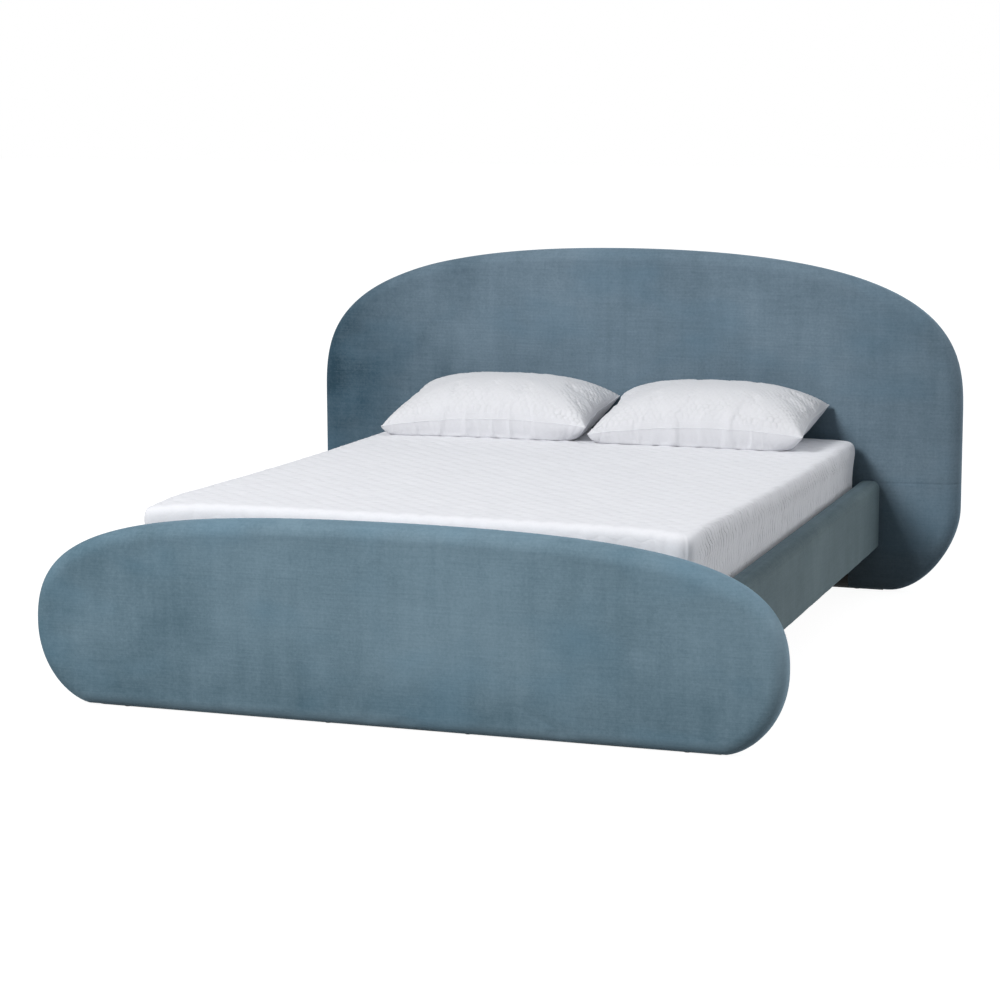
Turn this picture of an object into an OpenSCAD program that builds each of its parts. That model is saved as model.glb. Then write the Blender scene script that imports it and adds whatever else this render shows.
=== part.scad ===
// Upholstered bed with a pebble-shaped headboard and footboard, in millimetres.
// The origin is on the floor under the middle of the bed: X runs across it, from the left
// side to the right, Y runs from the footboard to the headboard, and Z points up.

/* [Mattress] */
// Width of the mattress across the bed, without its cover
mattress_w = 1524; // [1370:1:1930]
// Length of the mattress from foot to head, without its cover
mattress_l = 2032; // [1900:1:2130]
// Thickness of the mattress at its middle, with its cover
mattress_h = 276; // [200:1:330]
// How much lower the head end of the top lies than the foot end
mattress_dip = 48; // [0:1:60]
// How much lower the top lies halfway along than the mean of its two ends
mattress_sag = 10; // [0:1:20]
// Rise of the mattress top from its side edges to its middle
mattress_crown = 5; // [2:1:25]
// Roll of the top edges
mattress_roll = 42; // [30:1:90]
// Plan radius of the four corners
mattress_corner = 44; // [40:1:120]
// Rounding of the lower edges
mattress_heel = 30; // [16:1:40]
// How far the sides are drawn in halfway up
mattress_waist = 7; // [0:1:15]
// Thickness of the quilted cover
quilt_t = 4; // [3:1:12]
// Width of the hem that grips under the mattress
quilt_hem = 80; // [40:1:160]

/* [Pillows] */
// Width of a pillow across the bed
pillow_w = 697; // [560:1:740]
// Depth of a pillow from its front seam to its back seam
pillow_d = 392; // [340:1:480]
// Height of the seam above the mattress at the front left corner
seam_front = 42; // [24:1:60]
// Height of the seam above the mattress at the back
seam_back = 110; // [60:1:130]
// Arch of the front seam between its two corners
seam_arch = 17; // [0:1:25]
// How much higher the front seam ends on the right than on the left
seam_lift = 14; // [0:1:25]
// Rise of the upper shell above the seam
pillow_loft = 95; // [80:1:150]
// Depth of the lower shell, part of which the mattress flattens
pillow_belly = 150; // [120:1:190]
// How far each side is drawn in between two corners
pillow_draw = 17; // [6:1:30]
// Gap between the corners of the two pillows
pillow_gap = 3; // [1:1:20]
// Shift of the pair of pillows across the bed
pillow_shift = -22; // [-30:1:30]
// Clearance between the pillows and the headboard
pillow_back = 16; // [4:1:40]

/* [Headboard] */
// Overall width of the headboard
headboard_w = 2182; // [2000:1:2400]
// Height of the headboard above the floor
headboard_h = 1090; // [900:1:1300]
// Width of the flat base of the headboard
headboard_base = 1730; // [1650:1:1900]
// Reach of the heel curve that leaves the base
headboard_heel = 113; // [60:1:140]
// Reach of the tuck curve below the upright sides
headboard_tuck = 122; // [60:1:150]
// Height at which its sides become upright
headboard_hip = 280; // [220:1:360]
// Length of its upright sides
headboard_side = 298; // [150:1:380]
// Reach of the crown curve from the middle
headboard_crown = 1087; // [700:1:1150]
// Reach of the shoulder curve above the upright sides
headboard_shoulder = 214; // [120:1:320]

/* [Footboard] */
// Overall width of the footboard
footboard_w = 2072; // [1960:1:2300]
// Height of the footboard above the floor
footboard_h = 540; // [440:1:640]
// Width of the flat base of the footboard
footboard_base = 1770; // [1650:1:1850]
// Reach of the heel curve that leaves the base
footboard_heel = 77; // [50:1:110]
// Angle at which the heel curve leaves the base
footboard_lean = 11; // [0:1:25]
// Reach of the tuck curve below the upright sides
footboard_tuck = 118; // [60:1:140]
// Height at which its sides become upright
footboard_hip = 222; // [190:1:260]
// Length of its upright sides
footboard_side = 6; // [2:1:60]
// Reach of the crown curve from the middle
footboard_crown = 787; // [500:1:1000]
// Reach of the shoulder curve above the upright sides
footboard_shoulder = 244; // [120:1:280]

/* [Upholstered boards] */
// Thickness of either board over its covers
board_t = 100; // [88:1:130]
// Radius of the rolled edge at the front
front_roll = 42; // [30:1:44]
// Radius of the rolled edge at the back
back_roll = 36; // [24:1:40]
// Bulge of the front face
front_bulge = 4; // [1:1:12]
// Thickness of the velvet with its wadding
velvet_t = 4; // [2:0.5:6]
// Width of velvet turned in behind the back edge
turn_in = 44; // [30:1:70]
// Thickness of the front foam pad
foam_t = 26; // [15:1:40]
// Width of foam between the wooden frame and the rolled edge
edge_foam = 42; // [41:1:55]
// Thickness of the plywood panel
panel_t = 12; // [6:1:18]
// Thickness of the felt pad behind the frame
felt_t = 8; // [4:1:12]
// Thickness of the black lining on the headboard between the rails
lining_t = 1.2; // [0.6:0.1:2]
// Height of the top of that lining above the floor
lining_h = 430; // [300:1:480]
// Width of the upright posts in the boards
post_w = 90; // [84:1:120]
// Height of the cross battens in the boards
batten_h = 64; // [40:1:90]
// Distance of the headboard's top batten below the foam of its edge
head_batten_drop = 70; // [40:1:160]
// Distance of the footboard's top batten below the foam of its edge
foot_batten_drop = 34; // [20:1:60]
// Thickness of the wooden runner along the base of a board
sole_w = 22; // [18:1:26]

/* [Side rails] */
// Thickness of an upholstered side rail
rail_t = 70; // [62:1:90]
// Height of the underside of the side rails above the floor
rail_base = 150; // [120:1:170]
// Height of the side rails, from their underside to their rounded top
rail_h = 218; // [190:1:250]
// Side clearance between the covered mattress and a rail
rail_gap = 5; // [3:1:25]
// Radius of the rounded top edges of a rail
rail_roll = 24; // [10:1:30]
// Plan radius of the upright corners at the rail ends
rail_end_roll = 20; // [8:1:28]
// Thickness of the rail's core board
core_t = 28; // [18:1:32]
// Height of the foam over the core board
rail_top_foam = 16; // [6:1:24]
// Gap between the covered mattress and each board at its end
end_gap = 20; // [15:1:60]

/* [Slatted base] */
// Height of the slat tops above the floor
deck_h = 240; // [225:1:270]
// Number of slats
slat_count = 14; // [10:1:18]
// Width of a slat
slat_w = 68; // [50:1:90]
// Thickness of a slat
slat_t = 18; // [14:1:25]
// Gap between each slat end and the rail
slat_end_gap = 2; // [1:1:8]
// Distance from a board to the nearest slat
slat_margin = 12; // [6:1:30]
// Width of the ledger strips under the slat ends
ledger_w = 32; // [25:1:45]
// Height of the ledger strips
ledger_h = 40; // [30:1:50]
// Width of the webbing that spaces the slats
webbing_w = 30; // [15:1:50]
// Thickness of the webbing
webbing_t = 1.2; // [0.8:0.1:2]
// Distance of each webbing from the middle of the bed
webbing_x = 380; // [200:1:600]

/* [Centre support] */
// Side of the square centre legs
centre_leg = 45; // [38:1:60]
// Distance between neighbouring centre legs
centre_pitch = 620; // [400:1:760]
// Width of the centre rail
centre_rail_w = 45; // [36:1:60]
// Height of the centre rail
centre_rail_h = 60; // [45:1:80]
// Diameter of the screw of a levelling foot
screw_d = 10; // [8:0.5:12]
// Diameter of the pad of a levelling foot
pad_d = 40; // [30:1:55]
// Height of the pad of a levelling foot
pad_h = 12; // [8:1:18]
// How far a levelling foot unscrews
screw_travel = 12; // [5:1:16]
// Diameter of the dowel between a centre leg and the centre rail
dowel_d = 8; // [6:1:12]
// Length of that dowel
dowel_l = 44; // [30:1:60]
// Diameter of the nail-on glides under the boards
glide_d = 22; // [16:1:23]
// Thickness of the glides, which is the height of the boards' bases
glide_h = 3; // [2:0.5:8]

/* [Hardware] */
// Length of each arm of the corner brackets
bracket_arm = 44; // [36:1:60]
// Height of the corner brackets
bracket_h = 90; // [60:1:100]
// Thickness of the bracket steel
bracket_t = 3; // [2:0.5:5]
// Width of each wing of the cradles that hold the centre rail
cradle_wing = 24; // [18:1:36]
// Length of those cradles along the centre rail
cradle_l = 42; // [30:1:70]
// Diameter of the frame bolts
bolt_d = 8; // [6:1:10]
// Length of the headboard's bolts under the head
head_bolt_l = 70; // [68:1:80]
// Length of the footboard's bolts under the head
foot_bolt_l = 48; // [46:1:54]
// Length of the threaded inserts that take the bolts
insert_l = 20; // [14:1:22]
// Diameter of the wood screws
wood_screw_d = 4; // [3:0.5:5]
// How deep the wood screws bite into the piece behind
screw_bite = 14; // [8:1:16]
// Distance between the screws along a ledger
ledger_pitch = 300; // [200:1:330]

/* [Clearances] */
// Clearance between the mattress and its quilted cover
core_gap = 1; // [0.8:0.1:2]
// Clearance between soft pieces and what they lie on
soft_gap = 0.3; // [0.2:0.1:1]
// Room that the lining leaves round the steel fittings
lining_room = 2; // [1:0.5:6]
// Clearance of a pillow above the mattress
pillow_seat = 0.6; // [0.4:0.1:1]
// Radial clearance of the levelling screws in their inserts
screw_fit = 0.05; // [0.02:0.01:0.1]
// Radial clearance of bolts and screws in their holes
hole_fit = 0.4; // [0.2:0.1:1]

/* [Hidden] */
$fn = 48;

VELVET = [0.34, 0.46, 0.53];
FOAM = [0.93, 0.90, 0.78];
PLY = [0.78, 0.65, 0.46];
TIMBER = [0.80, 0.68, 0.50];
FELT = [0.45, 0.45, 0.44];
STEEL = [0.25, 0.26, 0.27];
ZINC = [0.72, 0.73, 0.74];
BLACK = [0.06, 0.06, 0.06];
LINEN = [0.90, 0.91, 0.93];

covered_w = mattress_w + 2 * (quilt_t + core_gap);
covered_l = mattress_l + 2 * (quilt_t + core_gap);
well_l = covered_l + 2 * end_gap;
board_y = well_l / 2 + board_t / 2;
rail_in = covered_w / 2 + rail_gap;
rail_out = rail_in + rail_t;
rail_top = rail_base + rail_h;
ledger_top = deck_h - slat_t;
bore_r = wood_screw_d / 2 + hole_fit;

// Depths of the upholstery layers of a board, from its middle
front_y = -board_t / 2;
rim_y = board_t / 2 - velvet_t;
front_axis = front_y + front_bulge + front_roll;
back_axis = rim_y - back_roll;
foam_y = front_y + velvet_t + soft_gap;
panel_y = foam_y + foam_t;
frame_y = panel_y + panel_t;
felt_y = rim_y - velvet_t - felt_t;
cavity = edge_foam + soft_gap;
frame_z = glide_h + cavity;
base_y = (front_axis + back_axis) / 2;

// Cubic curve through two end points with two handles
function bezier(a, b, c, d, t) =
    pow(1 - t, 3) * a + 3 * t * pow(1 - t, 2) * b + 3 * t * t * (1 - t) * c + t * t * t * d;

// Pebble outline in X and Z, counter-clockwise from the right end of its flat base.
// The heel handle leaves the base at the angle lean, and the tuck handle meets the side.
function pebble(w, h, base, hip, side, crown, shoulder, heel, tuck, lean) = let (
    low = [for (i = [0 : 9]) bezier(
        [base / 2, glide_h], [base / 2 + heel * cos(lean), glide_h + heel * sin(lean)],
        [w / 2, hip - tuck], [w / 2, hip], i / 9)],
    high = [for (i = [0 : 18]) bezier(
        [w / 2, hip + side], [w / 2, hip + side + shoulder], [crown, h], [0, h], i / 18)],
    half = concat(low, high))
    concat(half, [for (i = [len(half) - 2 : -1 : 0]) [-half[i][0], half[i][1]]]);

headboard_line = pebble(headboard_w, headboard_h, headboard_base, headboard_hip,
    headboard_side, headboard_crown, headboard_shoulder, headboard_heel, headboard_tuck, 0);
footboard_line = pebble(footboard_w, footboard_h, footboard_base, footboard_hip,
    footboard_side, footboard_crown, footboard_shoulder, footboard_heel, footboard_tuck,
    footboard_lean);

// Unit normal of the edge from a to b, on its right-hand side
function edge_normal(a, b) = let (d = b - a) [d[1], -d[0]] / norm(d);

// Outline moved inwards by a distance, edge by edge
function inset(line, d) = let (n = len(line)) [for (i = [0 : n - 1]) let (
    m = edge_normal(line[(i + n - 1) % n], line[i]),
    k = edge_normal(line[i], line[(i + 1) % n]))
    line[i] - d * (m + k) / (1 + m * k)];

function mid_height(line) = (line[0][1] + max([for (p = line) p[1]])) / 2;

// Outline drawn towards its middle by a factor
function shrink(line, s) = let (c = [0, mid_height(line)]) [for (p = line) c + s * (p - c)];

// Outline set upright at the depth y
function upright(line, y) = [for (p = line) [p[0], y, p[1]]];

// Closed skin over a stack of rings, with a fan to a middle point at each end
module loft(rings, first, last) {
    n = len(rings[0]);
    top = (len(rings) - 1) * n;
    a = len(rings) * n;
    points = concat([for (r = rings) for (p = r) p], [first, last]);
    sides = [for (q = [0 : n : top - n]) for (i = [0 : n - 1])
        let (j = (i + 1) % n, r = q + n)
        each [[q + i, q + j, r + j], [q + i, r + j, r + i]]];
    caps = [for (i = [0 : n - 1])
        let (j = (i + 1) % n)
        each [[a, j, i], [a + 1, top + i, top + j]]];
    polyhedron(points = points, faces = concat(sides, caps), convexity = 8);
}

// Rings round the rolled front edge and the rolled back edge, a depth t under the outer face
function front_rings(line, t, steps) = let (r = front_roll - t) [for (a = steps)
    upright(inset(line, t + r * (1 - cos(a))), front_axis - r * sin(a))];
function back_rings(line, t, steps) = let (r = back_roll - t) [for (a = steps)
    upright(inset(line, t + r * (1 - cos(a))), back_axis + r * sin(a))];

// Velvet skin of a board: a bulging front, a rolled edge all round and a turned-in margin
module board_cover(line) {
    face = inset(line, front_roll);
    rim = inset(line, back_roll + turn_in);
    inner_y = front_y + velvet_t;
    loft(concat(
        [upright(shrink(face, 0.6), front_y),
            upright(shrink(face, 0.88), front_y + front_bulge * 0.3)],
        front_rings(line, 0, [90, 58, 28, 0]),
        back_rings(line, 0, [0, 45, 90]),
        [upright(rim, rim_y), upright(rim, rim_y - velvet_t)],
        back_rings(line, velvet_t, [90, 45, 0]),
        front_rings(line, velvet_t, [0, 45, 90]),
        [upright(shrink(face, 0.7), inner_y)]
    ), [0, front_y, mid_height(line)], [0, inner_y, mid_height(line)]);
}

// Foam inside that skin: a front slab with a rolled edge, open behind for the frame
module board_foam(line, base) {
    skin = velvet_t + soft_gap;
    hole = inset(line, edge_foam);
    channel = [base - 2 * edge_foam + 2 * soft_gap, sole_w + 2 * soft_gap, frame_z + 1];
    difference() {
        loft(concat(
            [upright(shrink(inset(line, front_roll), 0.7), foam_y)],
            front_rings(line, skin, [90, 45, 0]),
            back_rings(line, skin, [0, 45, 90]),
            [upright(hole, rim_y - skin), upright(hole, panel_y - soft_gap)]
        ), [0, foam_y, mid_height(line)], [0, panel_y - soft_gap, mid_height(line)]);
        translate([-channel[0] / 2, base_y - channel[1] / 2, 0])
            cube(channel);
    }
}

// Flat layer of a board between two depths, set in from the outline
module layer(line, d, y0, y1) {
    translate([0, y1, 0])
        rotate([90, 0, 0])
            linear_extrude(y1 - y0)
                polygon(inset(line, d));
}

// Wooden runner on the base, which carries the frame and takes the glides. Where it is wider
// than the flat of the base, it lies higher, clear of the rolled edges.
module board_sole(base) {
    overhang = max(0, sole_w / 2 - (back_axis - front_axis) / 2);
    z = glide_h + velvet_t + soft_gap + overhang * tan(22.5);
    difference() {
        translate([edge_foam - base / 2, base_y - sole_w / 2, z])
            cube([base - 2 * edge_foam, sole_w, frame_z - z]);
        glide_holes(base);
    }
}

post_x = rail_in - bracket_arm / 2;
module post_blanks(h) {
    for (x = [-post_x, 0, post_x])
        translate([x - post_w / 2, frame_y, frame_z])
            cube([post_w, felt_y - frame_y, h]);
}

// Upright posts of a board, cut to its outline
module board_posts(line, h) {
    intersection() {
        post_blanks(h);
        layer(line, cavity, frame_y, felt_y);
    }
}

// Cross battens between and beyond the posts, cut to the outline
module board_battens(line, w, h, levels) {
    difference() {
        intersection() {
            for (z = levels)
                translate([-w / 2, frame_y, z])
                    cube([w, felt_y - frame_y, batten_h]);
            layer(line, cavity, frame_y, felt_y);
        }
        post_blanks(h);
    }
}

// Felt behind the frame, thicker inside the velvet's turned-in margin
module board_felt(line) {
    layer(line, cavity, felt_y, felt_y + felt_t - soft_gap);
    layer(line, back_roll + turn_in + soft_gap, felt_y, rim_y - soft_gap);
}

module board_back_cover(line) {
    layer(line, back_roll + turn_in / 3, rim_y + soft_gap, board_t / 2);
}

// Places of the glides along a base of the given width
function glide_places(base) = [for (s = [-1, 1]) for (k = [0.22, 0.88]) s * k * base / 2];

module board_glides(base) {
    for (x = glide_places(base))
        translate([x, base_y, 0]) {
            cylinder(d1 = glide_d - 2, d2 = glide_d, h = glide_h - soft_gap);
            cylinder(d = wood_screw_d, h = glide_h + velvet_t + screw_bite);
        }
}

module glide_holes(base) {
    for (x = glide_places(base))
        translate([x, base_y, -1])
            cylinder(r = bore_r, h = glide_h + velvet_t + screw_bite + 2);
}

// Both boards have their front on the -Y side
module at_head() {
    translate([0, board_y, 0])
        children();
}
module at_foot() {
    translate([0, -board_y, 0])
        children();
}

// End 1 is the headboard and end -1 the footboard. In the frame of either end, Y is 0 on the
// face that looks at the mattress and grows into the board.
module at_end(end) {
    mirror([0, end < 0 ? 1 : 0, 0])
        translate([0, well_l / 2, 0])
            children();
}

function skin_depth(end) = end > 0 ? frame_y - front_y : board_t / 2 - felt_y;
function bolt_l(end) = end > 0 ? head_bolt_l : foot_bolt_l;

bracket_z = deck_h + 6;
bolt_spots = [for (s = [-1, 1]) for (k = [0.22, 0.78]) [s * post_x, bracket_z + k * bracket_h]];
cradle_half = centre_rail_w / 2 + 0.5;
cradle_z = ledger_top - centre_rail_h - bracket_t;
cradle_spots = [for (s = [-1, 1])
    [s * (cradle_half + bracket_t + cradle_wing / 2), ledger_top - centre_rail_h / 2]];

// Rods of radius r into a board at spots in X and Z, from depth y0 to y1
module rods(spots, y0, y1, r) {
    for (p = spots)
        translate([p[0], y0, p[1]])
            rotate([-90, 0, 0])
                cylinder(r = r, h = y1 - y0);
}

// Clearance holes for the bolts and the cradle screws of an end
module fixing_holes(end) {
    at_end(end) {
        rods(bolt_spots, -10, bolt_l(end), bolt_d / 2 + hole_fit);
        rods(cradle_spots, -10, skin_depth(end) + screw_bite + 1, bore_r);
    }
}

insert_r = bolt_d / 2 + 2.5;
module insert_holes(end) {
    end_y = bolt_l(end) - bracket_t;
    at_end(end)
        rods(bolt_spots, end_y - insert_l, end_y + 0.5, insert_r);
}

module headboard_cover() {
    color(VELVET)
        difference() {
            at_head()
                difference() {
                    board_cover(headboard_line);
                    glide_holes(headboard_base);
                }
            fixing_holes(1);
        }
}

module headboard_back_cover() {
    color(VELVET)
        at_head()
            board_back_cover(headboard_line);
}

// Black cloth over the headboard between the rails, tucked under its rolled base as far as the
// glides and cut round the brackets and the cradle
module headboard_lining() {
    half = rail_in - ledger_w;
    cradle_room = cradle_half + bracket_t + cradle_wing + lining_room;
    y0 = front_axis;
    z0 = glide_h + front_roll;
    r = front_roll + soft_gap;
    slope = [[front_y - soft_gap, z0 + 90], [front_y - soft_gap, lining_h]];
    steps = [255 : -15 : 180];
    outer = concat([for (a = steps) [y0, z0] + (r + lining_t) * [cos(a), sin(a)]],
        [for (p = slope) p - [lining_t, 0]]);
    inner = concat([for (a = steps) [y0, z0] + r * [cos(a), sin(a)]], slope);
    color(BLACK)
        at_head()
            difference() {
                translate([-half, 0, 0])
                    rotate([90, 0, 90])
                        linear_extrude(2 * half)
                            polygon(concat(inner, [for (i = [len(outer) - 1 : -1 : 0]) outer[i]]));
                for (s = [-1, 1])
                    translate([s * half, 0, bracket_z + bracket_h / 2])
                        cube([2 * (half + bracket_arm + lining_room - rail_in), 2 * board_t,
                            bracket_h + 2 * lining_room], center = true);
                translate([-cradle_room, -board_t, cradle_z - lining_room])
                    cube([2 * cradle_room, board_t, ledger_top + lining_room - cradle_z
                        + lining_room]);
            }
}

module headboard_foam() {
    color(FOAM)
        difference() {
            at_head()
                board_foam(headboard_line, headboard_base);
            fixing_holes(1);
        }
}

module headboard_panel() {
    color(PLY)
        difference() {
            at_head()
                layer(headboard_line, cavity, panel_y, frame_y);
            fixing_holes(1);
        }
}

module headboard_posts() {
    color(TIMBER)
        difference() {
            at_head()
                board_posts(headboard_line, headboard_h);
            fixing_holes(1);
            insert_holes(1);
        }
}

module headboard_battens() {
    top = headboard_h - cavity - batten_h - head_batten_drop;
    color(TIMBER)
        at_head()
            board_battens(headboard_line, headboard_w, headboard_h,
                [frame_z, (frame_z + top) / 2, top]);
}

module headboard_felt() {
    color(FELT)
        at_head()
            board_felt(headboard_line);
}

module headboard_sole() {
    color(TIMBER)
        at_head()
            board_sole(headboard_base);
}

module headboard_glides() {
    color(BLACK)
        at_head()
            board_glides(headboard_base);
}

module footboard_cover() {
    color(VELVET)
        at_foot()
            difference() {
                board_cover(footboard_line);
                glide_holes(footboard_base);
            }
}

module footboard_inner_cover() {
    color(VELVET)
        difference() {
            at_foot()
                board_back_cover(footboard_line);
            fixing_holes(-1);
        }
}

module footboard_foam() {
    color(FOAM)
        at_foot()
            board_foam(footboard_line, footboard_base);
}

module footboard_panel() {
    color(PLY)
        at_foot()
            layer(footboard_line, cavity, panel_y, frame_y);
}

module footboard_posts() {
    color(TIMBER)
        difference() {
            at_foot()
                board_posts(footboard_line, footboard_h);
            fixing_holes(-1);
            insert_holes(-1);
        }
}

module footboard_battens() {
    color(TIMBER)
        at_foot()
            board_battens(footboard_line, footboard_w, footboard_h,
                [frame_z, footboard_h - cavity - batten_h - foot_batten_drop]);
}

module footboard_felt() {
    color(FELT)
        difference() {
            at_foot()
                board_felt(footboard_line);
            fixing_holes(-1);
        }
}

module footboard_sole() {
    color(TIMBER)
        at_foot()
            board_sole(footboard_base);
}

module footboard_glides() {
    color(BLACK)
        at_foot()
            board_glides(footboard_base);
}

// Points of a rounded rectangle between two corners, counter-clockwise, with n steps a corner
function arc(cx, cy, r, a, n) = [for (i = [0 : n]) [cx + r * cos(a + 90 * i / n),
    cy + r * sin(a + 90 * i / n)]];
function rounded(x0, y0, x1, y1, low_r, top_r, n) = concat(
    arc(x0 + low_r, y0 + low_r, low_r, 180, n), arc(x1 - low_r, y0 + low_r, low_r, 270, n),
    arc(x1 - top_r, y1 - top_r, top_r, 0, n), arc(x0 + top_r, y1 - top_r, top_r, 90, n));

// Right side rail as a solid, a depth d under its outer face
rail_half = well_l / 2 - soft_gap;
module rail_solid(d) {
    end_r = rail_end_roll - d;
    intersection() {
        translate([0, rail_half - d, 0])
            rotate([90, 0, 0])
                linear_extrude(2 * rail_half - 2 * d)
                    polygon(rounded(rail_in + d, rail_base + d, rail_out - d, rail_top - d,
                        10 - d, rail_roll - d, 6));
        linear_extrude(rail_top + 10)
            polygon(rounded(rail_in + d, d - rail_half, rail_out - d, rail_half - d,
                end_r, end_r, 6));
    }
}

core_x = rail_in + velvet_t + soft_gap;
core_top = rail_top - velvet_t - rail_top_foam;
ledger_z = ledger_top - ledger_h;
ledger_screw_z = ledger_z + 0.3 * ledger_h;
ledger_spots = [for (k = [-3 : 3]) k * ledger_pitch];

// Places of the bracket screws of one end, as Y along the rail and Z
bracket_spots = [for (k = [0.2, 0.5, 0.8]) [-0.62 * bracket_arm, bracket_z + k * bracket_h]];

module on_side(side) {
    mirror([side < 0 ? 1 : 0, 0, 0])
        children();
}

// Rods of radius r across a rail at its bracket screws, from x0 to x1
module bracket_rods(x0, x1, r) {
    for (end = [-1, 1])
        at_end(end)
            for (p = bracket_spots)
                translate([x0, p[0], p[1]])
                    rotate([0, 90, 0])
                        cylinder(r = r, h = x1 - x0);
}

module ledger_rods(x0, x1, r) {
    for (y = ledger_spots)
        translate([x0, y, ledger_screw_z])
            rotate([0, 90, 0])
                cylinder(r = r, h = x1 - x0);
}

// Velvet of a rail, wrapped over its ends and open behind the ledger, which laps the opening
mouth_end = 60;
mouth_lap = 6;
module rail_cover(side) {
    color(VELVET)
        on_side(side)
            difference() {
                rail_solid(0);
                rail_solid(velvet_t);
                translate([rail_in - 1, mouth_end - rail_half, ledger_z + mouth_lap])
                    cube([velvet_t + 2, 2 * (rail_half - mouth_end), ledger_h - 2 * mouth_lap]);
                bracket_rods(rail_in - 1, core_x + 1, bore_r);
            }
}

module rail_board(side) {
    color(TIMBER)
        on_side(side)
            difference() {
                intersection() {
                    rail_solid(velvet_t + soft_gap);
                    translate([core_x - 1, -rail_half, 0])
                        cube([core_t + 1, 2 * rail_half, core_top]);
                }
                bracket_rods(core_x - 1, core_x + screw_bite + 1, bore_r);
                ledger_rods(core_x - 1, core_x + screw_bite + 1, bore_r);
            }
}

module rail_foam(side) {
    color(FOAM)
        on_side(side)
            difference() {
                rail_solid(velvet_t + soft_gap);
                translate([core_x - 10, -rail_half - 10, 0])
                    cube([core_t + 10 + soft_gap, 2 * rail_half + 20, core_top + soft_gap]);
            }
}

// Ledger strip with a planed lower edge
module ledger(side) {
    bevel = 6;
    x0 = rail_in - ledger_w;
    color(TIMBER)
        on_side(side)
            difference() {
                translate([0, rail_half, 0])
                    rotate([90, 0, 0])
                        linear_extrude(2 * rail_half)
                            polygon([[x0, ledger_top], [x0, ledger_z + bevel],
                                [x0 + bevel, ledger_z], [rail_in, ledger_z],
                                [rail_in, ledger_top]]);
                ledger_rods(x0 - 1, rail_in + 1, bore_r);
                ledger_rods(x0 - 1, x0 + wood_screw_d * 0.6, wood_screw_d + hole_fit);
                slat_rods(ledger_top - screw_bite - 1, ledger_top + 1, bore_r);
            }
}

module left_rail_cover() { rail_cover(-1); }
module left_rail_foam() { rail_foam(-1); }
module left_rail_board() { rail_board(-1); }
module left_ledger() { ledger(-1); }
module right_rail_cover() { rail_cover(1); }
module right_rail_foam() { rail_foam(1); }
module right_rail_board() { rail_board(1); }
module right_ledger() { ledger(1); }

// Countersunk wood screw, its head's face at the origin and its point along +Z
module wood_screw(l) {
    head = wood_screw_d * 0.55;
    difference() {
        union() {
            cylinder(r1 = wood_screw_d, r2 = wood_screw_d / 2, h = head);
            cylinder(d = wood_screw_d, h = l - wood_screw_d);
            translate([0, 0, l - wood_screw_d])
                cylinder(d1 = wood_screw_d, d2 = 0.6, h = wood_screw_d);
        }
        translate([0, 0, -1])
            cylinder(d = wood_screw_d * 0.6, h = 1 + head * 0.6, $fn = 6);
    }
}

module ledger_screws() {
    x0 = rail_in - ledger_w;
    color(ZINC)
        for (side = [-1, 1])
            on_side(side)
                for (y = ledger_spots)
                    translate([x0 + 0.1, y, ledger_screw_z])
                        rotate([0, 90, 0])
                            wood_screw(core_x + screw_bite - x0);
}

// Bent steel angles that join the rails to the boards
module corner_brackets() {
    bend = 6;
    color(STEEL)
        for (side = [-1, 1])
            on_side(side)
                difference() {
                    for (end = [-1, 1])
                        at_end(end)
                            translate([rail_in, 0, bracket_z])
                                linear_extrude(bracket_h)
                                    polygon(concat(
                                        [[0, -bracket_arm]],
                                        arc(-bend, -bend, bend, 0, 5),
                                        [[-bracket_arm, 0], [-bracket_arm, -bracket_t]],
                                        [for (a = [90 : -18 : 0]) [-bend, -bend]
                                            + (bend - bracket_t) * [cos(a), sin(a)]],
                                        [[-bracket_t, -bracket_arm]]));
                    for (end = [-1, 1])
                        at_end(end)
                            rods(bolt_spots, -10, 1, bolt_d / 2 + hole_fit);
                    bracket_rods(rail_in - bracket_t - 1, rail_in + 1, bore_r);
                    for (end = [-1, 1])
                        at_end(end)
                            for (p = bracket_spots)
                                translate([rail_in - bracket_t - 0.01, p[0], p[1]])
                                    rotate([0, 90, 0])
                                        cylinder(r1 = wood_screw_d + hole_fit, r2 = bore_r,
                                            h = wood_screw_d * 0.55);
                }
}

module bracket_screws() {
    color(ZINC)
        for (side = [-1, 1])
            on_side(side)
                for (end = [-1, 1])
                    at_end(end)
                        for (p = bracket_spots)
                            translate([rail_in - bracket_t + 0.1, p[0], p[1]])
                                rotate([0, 90, 0])
                                    wood_screw(bracket_t + core_x - rail_in + screw_bite);
}

// Button-head bolts with a hexagon socket
module frame_bolts() {
    color(ZINC)
        for (end = [-1, 1])
            at_end(end)
                for (p = bolt_spots)
                    translate([p[0], -bracket_t, p[1]])
                        rotate([-90, 0, 0])
                            difference() {
                                union() {
                                    translate([0, 0, -0.55 * bolt_d])
                                        cylinder(d1 = bolt_d * 1.2, d2 = bolt_d * 1.8,
                                            h = 0.55 * bolt_d);
                                    cylinder(d = bolt_d, h = bolt_l(end) - 1);
                                }
                                translate([0, 0, -bolt_d])
                                    cylinder(d = bolt_d * 0.7, h = bolt_d * 0.8, $fn = 6);
                            }
}

// Threaded inserts in the posts
module bolt_inserts() {
    color(ZINC)
        for (end = [-1, 1])
            at_end(end)
                difference() {
                    rods(bolt_spots, bolt_l(end) - bracket_t - insert_l,
                        bolt_l(end) - bracket_t, insert_r - 0.1);
                    rods(bolt_spots, 0, board_t, bolt_d / 2 + screw_fit);
                }
}

// Places of the slats along the bed
slat_half = rail_in - slat_end_gap;
slat_first = well_l / 2 - slat_margin - slat_w / 2;
slat_pitch = 2 * slat_first / (slat_count - 1);
slat_spots = [for (i = [0 : slat_count - 1]) i * slat_pitch - slat_first];
slat_screw_x = rail_in - ledger_w / 2;

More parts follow.
